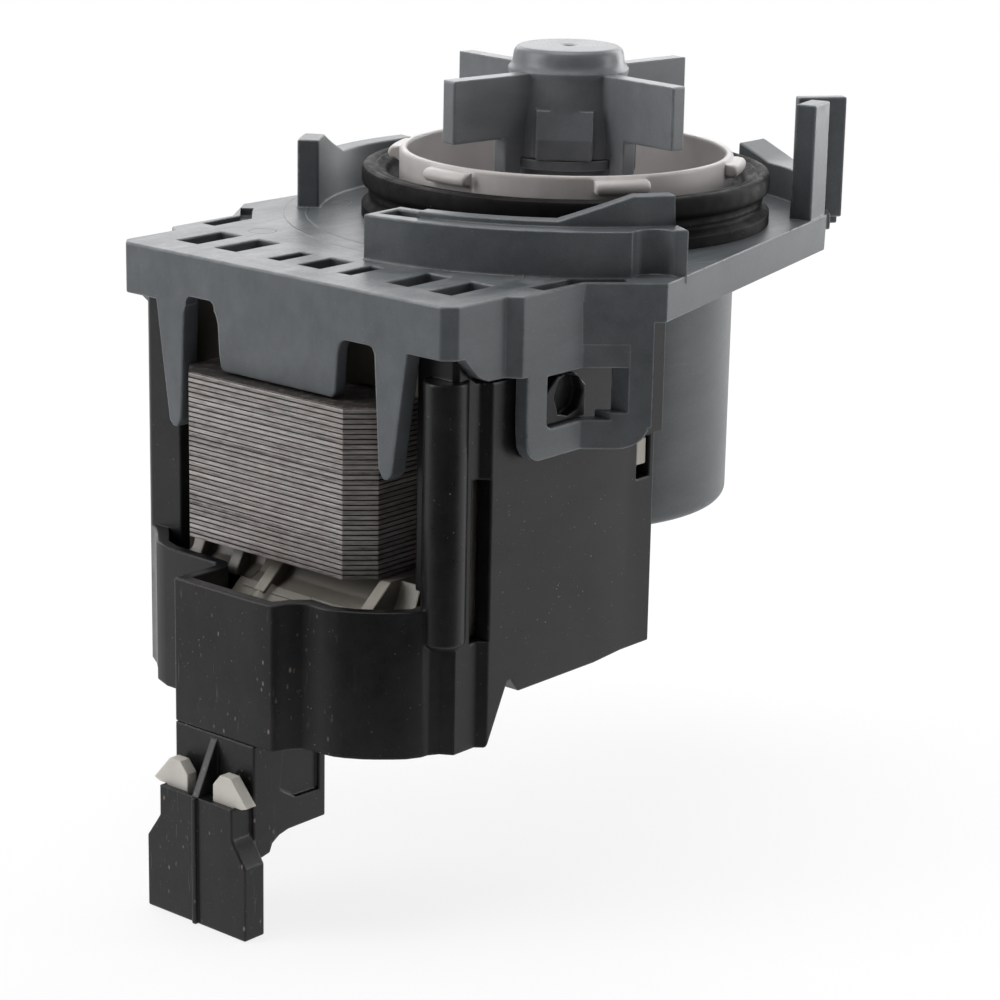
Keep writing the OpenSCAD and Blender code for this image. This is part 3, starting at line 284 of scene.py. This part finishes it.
def moulded(name, tone, lift, rough=(0.36, 0.55), grain=0.25, edge=0.45, dust=0.3, marks=None,
            soft=0.0, shine=0.45, shade=0.4, deep=0.0):
    """Moulded plastic: cloudy flow marks, fine grain, pale edges from wear with a painted highlight,
    painted shade in corners and hollows, and dust.

    lift is the paler colour of edges from wear and of their painted highlight. edge, shade and dust are how
    strongly the pale edges with their painted highlight, the painted shade in corners and the dust show.
    soft lets light into the plastic. deep is how far a painted shade darkens a hollow that is some
    millimetres in. marks adds a part's own marks.
    """
    t = Tree(name)
    cloud = t.noise(70, 4, 0.6, warp=0.6)
    flow = t.noise(1, 4, 0.62, at=t.stretch(60, 420, 300))
    speck = t.noise(2600, 2, 0.6)
    uneven = t.plus(t.times(cloud, 0.5), t.times(flow, 0.5))
    body = t.mix(t.ramp(uneven, 0.32, 0.68), blend_of(tone, BLACK, 0.12), blend_of(tone, lift, 0.12))
    fleck = t.ramp(t.noise(5200, 1, 0.5), 0.3, 0.7)
    body = t.mix(t.times(fleck, 0.05), body, lift)

    # Edges pale from wear in places, with a painted highlight on them, and painted shade in the corners
    normal, near, clear = t.round_edges(0.35 * MM)
    wear_highlight_patch = t.ramp(t.noise(380, 4, 0.7), 0.28, 0.54)
    wear_and_highlight = t.times(near, t.ramp(clear, 0.62, 0.92), wear_highlight_patch)
    body = t.mix(t.times(wear_and_highlight, edge), body, lift)
    # Painted shade: the colour darkens where other faces close in
    corner = t.ramp(clear, 0.75, 0.25)
    body = t.mix(t.times(corner, shade), body, blend_of(tone, BLACK, 0.55))
    # Painted shade, dark brown, in hollows that lie some millimetres in
    if deep:
        hollow_shade = t.ramp(t.openness(20 * MM, 6), 0.85, 0.3, 0.0, deep)
        body = t.mix(hollow_shade, body, blend_of(tone, HOLLOW_SHADE_TINT, 0.9))

    # Tiny pale grains of dust, thicker in patches
    patch = t.ramp(t.noise(55, 3, 0.6), 0.45, 0.7)
    grains = t.ramp(t.cells(1500), 0.16, 0.06)
    pick = t.ramp(t.noise(900, 2, 0.5), 0.52, 0.66)
    dusty = t.times(grains, pick, t.plus(t.times(patch, 0.8), 0.2))
    body = t.mix(t.times(dusty, dust), body, DUST)
    scuff = t.ramp(t.noise(1, 3, 0.7, at=t.stretch(160, 1900, 1100), warp=0.5), 0.62, 0.76)
    body = t.mix(t.times(scuff, 0.06), body, lift)

    gloss = t.plus(t.times(flow, 0.6), t.times(speck, 0.4))
    roughness = t.plus(t.ramp(gloss, 0.3, 0.7, *rough), t.times(dusty, 0.25))
    height = t.plus(t.times(speck, 0.55), t.times(t.noise(900, 3, 0.6), 0.45))
    normal = t.bump(height, grain, 0.05 * MM, normal)
    if marks:
        body, normal = marks(t, body, normal)
    ins = {"Base_Color": body, "Roughness": roughness, "Normal": normal, "Specular_IOR_Level": shine}
    if soft:
        ins["Subsurface_Weight"] = soft
        ins["Subsurface_Radius"] = (1.2 * MM, 1.0 * MM, 0.8 * MM)
        ins["Subsurface_Scale"] = 1.0
    return t.finish(**ins)


def rubber():
    """Black rubber with a mould bloom, brown edges from wear that also stand in for a painted highlight on
    the lip, and fine lint.
    """
    t = Tree("seal_rubber")
    cloud = t.noise(160, 4, 0.65, warp=0.4)
    body = t.mix(t.ramp(cloud, 0.35, 0.7), srgb(9, 8, 8), srgb(21, 19, 18))
    normal, near, clear = t.round_edges(0.3 * MM)
    # Brown on the edges: wear, and a painted highlight along the lit lip
    wear_highlight_patch = t.ramp(t.noise(420, 4, 0.7), 0.3, 0.6)
    wear_and_highlight = t.times(near, clear, wear_highlight_patch)
    body = t.mix(t.times(wear_and_highlight, 0.55), body, srgb(96, 82, 72))
    lint = t.ramp(t.cells(1300), 0.13, 0.05)
    keep = t.ramp(t.noise(700, 2, 0.5), 0.55, 0.68)
    body = t.mix(t.times(lint, keep, 0.5), body, srgb(150, 144, 136))
    roughness = t.ramp(t.noise(500, 4, 0.6), 0.3, 0.7, 0.5, 0.72)
    normal = t.bump(t.noise(1700, 3, 0.6), 0.35, 0.05 * MM, normal)
    return t.finish(Base_Color=body, Roughness=roughness, Normal=normal, Specular_IOR_Level=0.15)


def laminations():
    """Stacked sheet steel: each sheet's cut edge differs, with burnish and a breath of rust."""
    t = Tree("core_steel")
    sheet = t.noise(1, 2, 0.5, at=t.stretch(12, 12, SHEETS_PER_METRE))
    along = t.noise(1, 4, 0.6, at=t.stretch(500, 500, 2900))
    shade = t.ramp(t.plus(t.times(sheet, 0.55), t.times(along, 0.45)), 0.34, 0.66)
    body = t.mix(shade, srgb(92, 89, 88), srgb(186, 182, 179))
    stain = t.ramp(t.noise(60, 4, 0.65, warp=0.8), 0.46, 0.7)
    body = t.mix(t.times(stain, 0.3), body, srgb(140, 116, 108))
    normal, _, clear = t.round_edges(0.12 * MM)
    # Painted shade in the grooves between the sheets and in corners
    body = t.mix(t.ramp(clear, 0.85, 0.3), body, srgb(44, 40, 39))

    # Painted shade: the top sheet is painted dark, and holds brown dirt
    up = t.axes(t.add("ShaderNodeNewGeometry").outputs["Normal"])[2]
    shaded_top_sheet = t.ramp(up, 0.5, 0.9)
    dirt = t.ramp(t.noise(750, 3, 0.7), 0.52, 0.66)
    top = t.mix(t.times(dirt, 0.5), srgb(44, 41, 40), srgb(128, 112, 100))
    body = t.mix(shaded_top_sheet, body, top)
    roughness = t.plus(t.ramp(along, 0.3, 0.7, 0.34, 0.56), t.times(shaded_top_sheet, 0.15))
    bare = t.times(t.math("SUBTRACT", 1.0, shaded_top_sheet), 0.7)
    normal = t.bump(along, 0.35, 0.04 * MM, normal)
    return t.finish(Base_Color=body, Roughness=roughness, Normal=normal, Metallic=bare,
                    Specular_IOR_Level=0.5)


def windings():
    """Enamelled copper wire laid in close turns."""
    t = Tree("coil_copper")
    ins = {"Vector": t.place, "Scale": 380, "Distortion": 0.6, "Detail": 1.0}
    turns = t.add("ShaderNodeTexWave", ins, wave_type="BANDS", bands_direction="X").outputs["Fac"]
    body = t.mix(t.ramp(turns, 0.15, 0.7), srgb(70, 30, 16), srgb(188, 104, 58))
    body = t.mix(t.ramp(t.noise(240, 3, 0.6), 0.4, 0.7), body, srgb(150, 70, 36))
    normal = t.bump(turns, 0.9, 0.25 * MM)
    roughness = t.ramp(turns, 0, 1, 0.5, 0.28)
    return t.finish(Base_Color=body, Roughness=roughness, Normal=normal, Metallic=0.6)


def metal(name, low, high, rough, grain_at=(900, 900, 60)):
    """Drawn or turned metal with fine tool marks; grain_at is how close they lie on each axis."""
    t = Tree(name)
    mark = t.noise(1, 4, 0.6, at=t.stretch(*grain_at))
    body = t.mix(t.ramp(mark, 0.3, 0.7), low, high)
    normal, near, _ = t.round_edges(0.15 * MM)
    body = t.mix(t.times(near, 0.4), body, high)
    roughness = t.ramp(mark, 0.3, 0.7, rough, rough + 0.16)
    normal = t.bump(mark, 0.2, 0.02 * MM, normal)
    return t.finish(Base_Color=body, Roughness=roughness, Normal=normal, Metallic=1.0)


def ferrite():
    """Pitted grey magnet ceramic, ground smooth in bands."""
    t = Tree("ferrite")
    pit = t.noise(1500, 4, 0.7)
    body = t.mix(t.ramp(pit, 0.3, 0.7), srgb(42, 41, 43), srgb(74, 72, 74))
    ground = t.noise(1, 3, 0.6, at=t.stretch(300, 300, 2400))
    roughness = t.ramp(ground, 0.3, 0.7, 0.4, 0.6)
    normal = t.bump(pit, 0.3, 0.06 * MM)
    return t.finish(Base_Color=body, Roughness=roughness, Normal=normal, Metallic=0.35)


# Rings moulded in the plate's top, each (x, y, radius) in mm: one round the seal, then ejector marks
PLATE_RINGS = ((0, 0, 41.5), (-38, -26.5, 1.9), (-50.5, 0, 1.9), (-41, 22, 1.9), (16, -31.5, 1.9),
               (-17, 30, 1.9))


def plate_marks(t, body, normal):
    """Faint mould rings round the seal and round ejector marks on the plate's top."""
    x, y, z = t.axes(t.place)
    up = t.times(t.ramp(z, -0.4 * MM, -0.05 * MM), t.ramp(z, 0.4 * MM, 0.1 * MM))

    def ring(cx, cy, radius, width):
        dx = t.math("SUBTRACT", x, cx * MM)
        dy = t.math("SUBTRACT", y, cy * MM)
        away = t.math("SQRT", t.plus(t.times(dx, dx), t.times(dy, dy)))
        off = t.math("ABSOLUTE", t.math("SUBTRACT", away, radius * MM))
        return t.ramp(off, 0, width * MM, 1.0, 0.0, smooth=True)

    rings = ring(0, 0, 38, 0.3)
    for cx, cy, radius in PLATE_RINGS:
        rings = t.math("MAXIMUM", rings, ring(cx, cy, radius, 0.22))
    # The flat top near the slots is paler: dust from handling, and a painted sheen
    cloudy = t.ramp(t.noise(130, 5, 0.7, warp=0.5), 0.4, 0.68)
    dust_and_sheen = t.times(up, t.ramp(x, -20 * MM, -46 * MM), cloudy)
    body = t.mix(t.times(dust_and_sheen, 0.3), body, srgb(176, 178, 178))
    mottle = t.times(t.noise(420, 5, 0.8, warp=0.4), up, 0.35)
    return body, t.bump(t.plus(t.times(rings, up), mottle), 0.6, 0.12 * MM, normal)


def cap_marks(t, body, normal):
    """The gate's dark dimple in the middle of the impeller's cap, with faint turning rings."""
    x, y, z = t.axes(t.place)
    top = t.ramp(z, *(h * MM for h in CAP_TOP))
    away = t.math("SQRT", t.plus(t.times(x, x), t.times(y, y)))
    uneven = t.plus(away, t.times(t.noise(900, 2, 0.5), 0.7 * MM))
    dimple = t.times(t.ramp(uneven, 1.5 * MM, 0.8 * MM, smooth=True), top)
    body = t.mix(t.times(dimple, 0.75), body, srgb(40, 42, 45))
    # The rings lie some 0.7 mm apart
    turned = t.times(t.math("SINE", t.times(away, 9000)), top)
    height = t.math("SUBTRACT", t.times(turned, 0.12), dimple)
    return body, t.bump(height, 0.5, 0.2 * MM, normal)


def box_dust(t, body, normal):
    """Brownish grit and short scratches on the box at the cover's front."""
    front = t.ramp(t.axes(t.place)[0], *(x * MM for x in BOX_FRONT))
    grit = t.ramp(t.cells(900, at=t.stretch(1, 1, 0.5)), 0.2, 0.08)
    keep = t.ramp(t.noise(420, 3, 0.65), 0.5, 0.62)
    body = t.mix(t.times(grit, keep, front, 0.7), body, srgb(140, 124, 112))
    scratch = t.ramp(t.noise(1, 2, 0.6, at=t.stretch(1500, 1500, 170), warp=1.2), 0.66, 0.74)
    body = t.mix(t.times(scratch, front, 0.22), body, srgb(120, 112, 106))
    return body, normal


# In these materials, edge sets the pale edges from wear with their painted highlight, shade the painted
# shade in corners, and deep the painted shade in hollows
MATS = {
    "flange_plastic": moulded("flange_grey", srgb(75, 79, 82), srgb(156, 160, 163), rough=(0.3, 0.46),
                              grain=0.3, edge=0.9, marks=plate_marks),
    "impeller_plastic": moulded("impeller_grey", srgb(101, 104, 108), srgb(184, 186, 186),
                                rough=(0.28, 0.42), edge=0.85, dust=0.15, marks=cap_marks),
    "can_plastic": moulded("can_white", srgb(192, 187, 185), srgb(224, 220, 218), rough=(0.3, 0.48),
                           dust=0.1, soft=0.25, shade=0.2),
    "rubber": rubber(),
    "bearing": moulded("bearing_black", srgb(46, 46, 50), srgb(90, 90, 94), dust=0.1),
    "shaft_steel": metal("shaft_steel", srgb(150, 150, 152), srgb(208, 208, 210), 0.18),
    "ferrite": ferrite(),
    "washer_plastic": moulded("washer_nylon", srgb(206, 196, 176), srgb(226, 218, 202), dust=0.1),
    "sheet_steel": laminations(),
    "bobbin_plastic": moulded("bobbin_white", srgb(164, 159, 148), srgb(224, 221, 213),
                              rough=(0.34, 0.5), edge=0.3, dust=0.15, soft=0.1, deep=0.85),
    "copper_wire": windings(),
    "lead_insulation": moulded("lead_white", srgb(206, 204, 198), srgb(230, 228, 224), dust=0.1),
    "tinned_blade": metal("blade_tin", srgb(168, 166, 160), srgb(214, 212, 206), 0.28, (70, 900, 900)),
    "cover_plastic": moulded("cover_black", srgb(9, 9, 10), srgb(74, 74, 77), rough=(0.26, 0.4),
                             grain=0.3, edge=0.3, dust=0.6, marks=box_dust, shine=0.34),
}
TIP_WHITE = moulded("tip_white", srgb(196, 192, 184), srgb(228, 225, 218), rough=(0.36, 0.52),
                    edge=0.4, dust=0.2, soft=0.15)
SLOT_OF = {s["node"]: s["material_slot"] for s in frame["record"]["subparts"]}
BODY_OF = {n: o["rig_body"] for n, o in frame["nodes"].items()}


def dress_nodes():
    """Gives every CAD node the material of its slot; the lock tips are paler than their slot."""
    for name, obj in frame["nodes"].items():
        for s in obj.material_slots:
            s.link = "OBJECT"
            s.material = TIP_WHITE if name == "terminal_carrier" else MATS[SLOT_OF[name]]


def piece(bm, name, *nodes, slot=None, body=None, smooth=35):
    """Makes a visible piece of a mesh. It takes the place of the nodes named, if any.
    Faces that meet at less than smooth degrees are shaded as one."""
    mesh = bpy.data.meshes.new(name)
    bm.to_mesh(mesh)
    bm.free()
    obj = bpy.data.objects.new(name, mesh)
    bpy.context.scene.collection.objects.link(obj)
    slot = slot or SLOT_OF[nodes[0]]
    mesh.materials.append(MATS[slot])
    for p in mesh.polygons:
        p.use_smooth = True
    mesh.set_sharp_from_angle(angle=math.radians(smooth))
    weigh = obj.modifiers.new("normals", "WEIGHTED_NORMAL")
    weigh.keep_sharp = True
    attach(obj, body or BODY_OF[nodes[0]])
    if nodes:
        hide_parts(*nodes)


def faces_gone_wrong(bm, old, width):
    """Centres of triangles that turned over or left the old surface."""
    mesh = bpy.data.meshes.new("probe")
    bm.to_mesh(mesh)
    mesh.calc_loop_triangles()
    wrong = []
    for t in mesh.loop_triangles:
        if t.area < SLIVER:
            continue
        a, b, c = (mesh.vertices[i].co for i in t.vertices)
        mid = (a + b + c) / 3
        n = (b - a).cross(c - a).normalized()
        near = old.find_nearest(mid)
        if near[3] > width * STRAY_SHARE or n.dot(near[1]) < TURNED_OVER:
            wrong.append(mid)
    bpy.data.meshes.remove(mesh)
    return wrong


def near_edge(p, a, b):
    """How far point p is from the line between a and b."""
    d = b - a
    k = max(0.0, min(1.0, (p - a).dot(d) / max(d.length_squared, 1e-18)))
    return (p - a - d * k).length


def ends_of(edge):
    return edge.verts[0].co.copy(), edge.verts[1].co.copy()


def round_off(bm, edges, width, faces):
    bmesh.ops.bevel(bm, geom=edges, offset=width, offset_type="OFFSET", segments=faces, profile=0.5,
                    affect="EDGES", clamp_overlap=False)


def with_wide_corners(flat, old, test, radius):
    """The mesh with each edge that passes the test rounded wide, unless that folds a face."""
    wide = [ends_of(e) for e in flat.edges
            if e.is_manifold and e.calc_face_angle() > math.radians(CORNER_ANGLE)
            and test(e.verts[0].co / MM, e.verts[1].co / MM)]
    before = len(faces_gone_wrong(flat, old, radius))
    for low, high in wide:
        trial = flat.copy()
        edge = [e for e in trial.edges if {tuple(v.co) for v in e.verts} == {tuple(low), tuple(high)}]
        round_off(trial, edge, radius, CORNER_FACES)
        if edge and len(faces_gone_wrong(trial, old, radius)) <= before:
            flat.free()
            flat = trial
        else:
            trial.free()
    return flat


def softened(node, width, sharp=24, corner=None, smooth=35):
    """A copy of a node with its flat faces joined and its edges rounded, shown in the node's place.

    Edges sharper than sharp degrees are rounded, width mm wide. An edge whose rounding would fold
    the faces beside it stays as it is. corner is a test for edges that are rounded wider first.
    """
    flat = bmesh.new()
    flat.from_mesh(frame["nodes"][node].data)
    bmesh.ops.remove_doubles(flat, verts=flat.verts, dist=SAME_POINT * MM)
    old = BVHTree.FromBMesh(flat)
    bmesh.ops.dissolve_limit(flat, angle_limit=math.radians(FLAT_ANGLE), verts=flat.verts, edges=flat.edges)
    if corner:
        flat = with_wide_corners(flat, old, corner, CORNER_RADIUS * MM)
        old = BVHTree.FromBMesh(flat)
    if not width:
        piece(flat, node + "_skin", node, smooth=smooth)
        return
    flat.edges.ensure_lookup_table()
    chosen = {e.index for e in flat.edges if e.is_manifold and e.calc_face_angle() > math.radians(sharp)}
    ends = {i: ends_of(flat.edges[i]) for i in chosen}
    width *= MM
    for thinned in range(ROUND_TRIES + 1):
        bm = flat.copy()
        bm.edges.ensure_lookup_table()
        round_off(bm, [bm.edges[i] for i in sorted(chosen)], width, ROUND_FACES)
        reach = (ROUND_REACH + thinned) * width
        wrong = faces_gone_wrong(bm, old, width)
        drop = {i for i in chosen for p in wrong if near_edge(p, *ends[i]) < reach}
        if not drop or thinned == ROUND_TRIES:
            break
        chosen -= drop
        bm.free()
    piece(bm, node + "_skin", node, smooth=smooth)


def skirt_corner(a, b):
    """The corners of the notches and of the flap in the front skirt, which run along X."""
    along_x = abs(a.x - b.x) > SKIRT_WALL and abs(a.y - b.y) < STRAIGHT and abs(a.z - b.z) < STRAIGHT
    in_skirt = max(a.x, b.x) < SKIRT_BACK and SKIRT_FOOT < a.z < SKIRT_HEAD
    return along_x and in_skirt and abs(a.y) < SKIRT_HALF


def lathe(name, profile, body, slot, steps):
    """A turned shape from (radius, height) points in mm, round the Z axis."""
    bm = bmesh.new()
    rings = []
    for i in range(steps):
        a = math.radians(360 * i / steps)
        ring = [(r * math.cos(a) * MM, r * math.sin(a) * MM, z * MM) for r, z in profile]
        rings.append([bm.verts.new(p) for p in ring])
    points = len(profile)
    for i in range(steps):
        a, b = rings[i], rings[(i + 1) % steps]
        for k in range(points):
            up = (k + 1) % points
            bm.faces.new((a[k], a[up], b[up], b[k]))
    bmesh.ops.remove_doubles(bm, verts=bm.verts, dist=1e-7)
    bmesh.ops.recalc_face_normals(bm, faces=bm.faces)
    piece(bm, name, slot=slot, body=body)


def scoop(name, y0, y1, top, foot, sag, ribs=()):
    """A moulded apron under the yoke: from top (x, z) it falls in a hollow curve to foot (x, z).
    sag is how deep the hollow is. Each rib is (y, half width, height) and fades towards the foot."""
    def height(y):
        return max([h * max(0.0, 1 - abs(y - c) / w) ** 0.5 for c, w, h in ribs] or [0.0])

    bm = bmesh.new()
    grid = []
    for j in range(APRON_COLUMNS + 1):
        y = y0 + (y1 - y0) * j / APRON_COLUMNS
        row = []
        for i in range(APRON_ROWS + 1):
            k = i / APRON_ROWS
            bow = sag * math.sin(math.pi * k)
            lift = height(y) * (1 - 0.4 * k)
            x = top[0] + (foot[0] - top[0]) * k + 0.6 * bow - 0.6 * lift
            z = top[1] + (foot[1] - top[1]) * k - bow + 0.5 * lift
            face = bm.verts.new((x * MM, y * MM, z * MM))
            back = bm.verts.new(((x + 0.5 * APRON_WALL) * MM, y * MM, (z - APRON_WALL) * MM))
            row.append((face, back))
        grid.append(row)
    for a, b in zip(grid, grid[1:]):
        for i in range(APRON_ROWS):
            for side in (0, 1):
                bm.faces.new((a[i][side], b[i][side], b[i + 1][side], a[i + 1][side]))
        for i in (0, APRON_ROWS):
            bm.faces.new((a[i][0], b[i][0], b[i][1], a[i][1]))
    for end in (grid[0], grid[-1]):
        for low, high in zip(end, end[1:]):
            bm.faces.new((low[0], high[0], high[1], low[1]))
    bmesh.ops.recalc_face_normals(bm, faces=bm.faces)
    piece(bm, name, slot="bobbin_plastic", body="housing", smooth=50)


def stage():
    """A white floor; a dark card by the camera shows only in reflections, as in the photograph."""
    t = Tree("floor")
    pale = t.add("ShaderNodeBsdfDiffuse", {"Color": (0.86, 0.86, 0.86, 1)}).outputs[0]
    lit = t.add("ShaderNodeEmission", {"Color": (1, 1, 1, 1), "Strength": 1.0}).outputs[0]
    path = t.add("ShaderNodeLightPath").outputs
    away = t.vector("DOT_PRODUCT", t.place, AWAY)
    bright = t.ramp(away, *CARD_FADE, 0.1, 0.9, smooth=True)
    card = t.add("ShaderNodeEmission", {"Strength": bright}).outputs[0]
    mirror = t.math("MAXIMUM", path["Is Glossy Ray"], path["Is Transmission Ray"])
    # White is laid over the lit floor more and more with distance, so that no horizon shows
    far = t.ramp(t.vector("LENGTH", t.place), *WHITE_FADE, 0.8, 1.0)
    white = t.times(path["Is Camera Ray"], far)
    plain = t.add("ShaderNodeMixShader", {0: white, 1: pale, 2: lit}).outputs[0]
    t.surface(t.add("ShaderNodeMixShader", {0: mirror, 1: plain, 2: card}).outputs[0])
    bm = bmesh.new()
    bmesh.ops.create_grid(bm, x_segments=1, y_segments=1, size=FLOOR_HALF)
    mesh = bpy.data.meshes.new("floor")
    bm.to_mesh(mesh)
    bm.free()
    mesh.materials.append(t.mat)
    floor = bpy.data.objects.new("floor", mesh)
    floor.location.z = CAD_BOX[0][2] - FLOOR_GAP * MM
    bpy.context.scene.collection.objects.link(floor)


def world():
    """A studio that is bright at the far side and dark behind the camera; it looks white itself."""
    w = bpy.data.worlds.new("studio")
    bpy.context.scene.world = w
    w.use_nodes = True
    nodes, links = w.node_tree.nodes, w.node_tree.links
    nodes.clear()
    out = nodes.new("ShaderNodeOutputWorld")
    room = nodes.new("ShaderNodeBackground")
    room.inputs["Color"].default_value = (0.98, 0.985, 1, 1)
    way = nodes.new("ShaderNodeTexCoord")
    behind = nodes.new("ShaderNodeVectorMath")
    behind.operation = "DOT_PRODUCT"
    behind.inputs[1].default_value = AWAY
    # The room's light rises from behind the camera to the far side
    fade = nodes.new("ShaderNodeMapRange")
    for name, value in (("From Min", -0.5), ("From Max", 0.8), ("To Min", 0.14), ("To Max", 0.7)):
        fade.inputs[name].default_value = value
    white = nodes.new("ShaderNodeBackground")
    white.inputs["Strength"].default_value = 1.0
    path = nodes.new("ShaderNodeLightPath")
    mixed = nodes.new("ShaderNodeMixShader")
    links.new(way.outputs["Generated"], behind.inputs[0])
    links.new(behind.outputs["Value"], fade.inputs["Value"])
    links.new(fade.outputs["Result"], room.inputs["Strength"])
    links.new(path.outputs["Is Camera Ray"], mixed.inputs[0])
    links.new(room.outputs[0], mixed.inputs[1])
    links.new(white.outputs[0], mixed.inputs[2])
    links.new(mixed.outputs[0], out.inputs["Surface"])


def lamp(name, at, size, watts):
    """A soft lamp that points at the pump."""
    light = bpy.data.lights.new(name, "AREA")
    light.shape = "RECTANGLE"
    light.size, light.size_y = size
    light.energy = watts
    obj = bpy.data.objects.new(name, light)
    obj.location = Vector(at) * MM
    obj.rotation_euler = (Vector(LAMP_AIM) * MM - obj.location).to_track_quat("-Z", "Y").to_euler()
    bpy.context.scene.collection.objects.link(obj)


place_camera()
bpy.context.scene.view_settings.view_transform = "Standard"
dress_nodes()

# The moulded pieces whose edges show; in the list, each is (node, round in mm, smooth angle in degrees)
softened("flange_plate", 0.25, corner=skirt_corner, smooth=20)
softened("impeller", 0.3, sharp=15, smooth=15)
for node, width, smooth in (("rotor_can", 0.4, 35), ("sump_seal", 0.0, 35), ("motor_cover", 0.22, 15),
                            ("connector_housing", 0.22, 20), ("bobbin", 0.2, 20)):
    softened(node, width, smooth=smooth)

# The moulding gate in the dimple of the impeller's cap
GATE = ((0.01, 24.4), (0.01, 24.96), (0.35, 24.94), (0.55, 24.8), (0.6, 24.4))
lathe("hub_gate", GATE, "impeller_wheel", "impeller_plastic", steps=32)

# The bobbin's tray runs on down into the box at the cover's front, and out to the near corner
scoop("tray_apron", -8.2, 5.4, TRAY_LIP, (-69.8, -47.6), sag=0.5, ribs=((0, 1.5, 1.5),))
scoop("tray_apron_side", -18.2, -8.2, TRAY_LIP, (-65.7, -45.2), sag=0.3)
scoop("tray_corner", -23.3, -19.4, (-56.8, -39.4), (-60.2, -44.6), sag=0.7)

stage()
world()
for name, (at, size, watts) in LAMPS.items():
    lamp(name, at, size, watts)
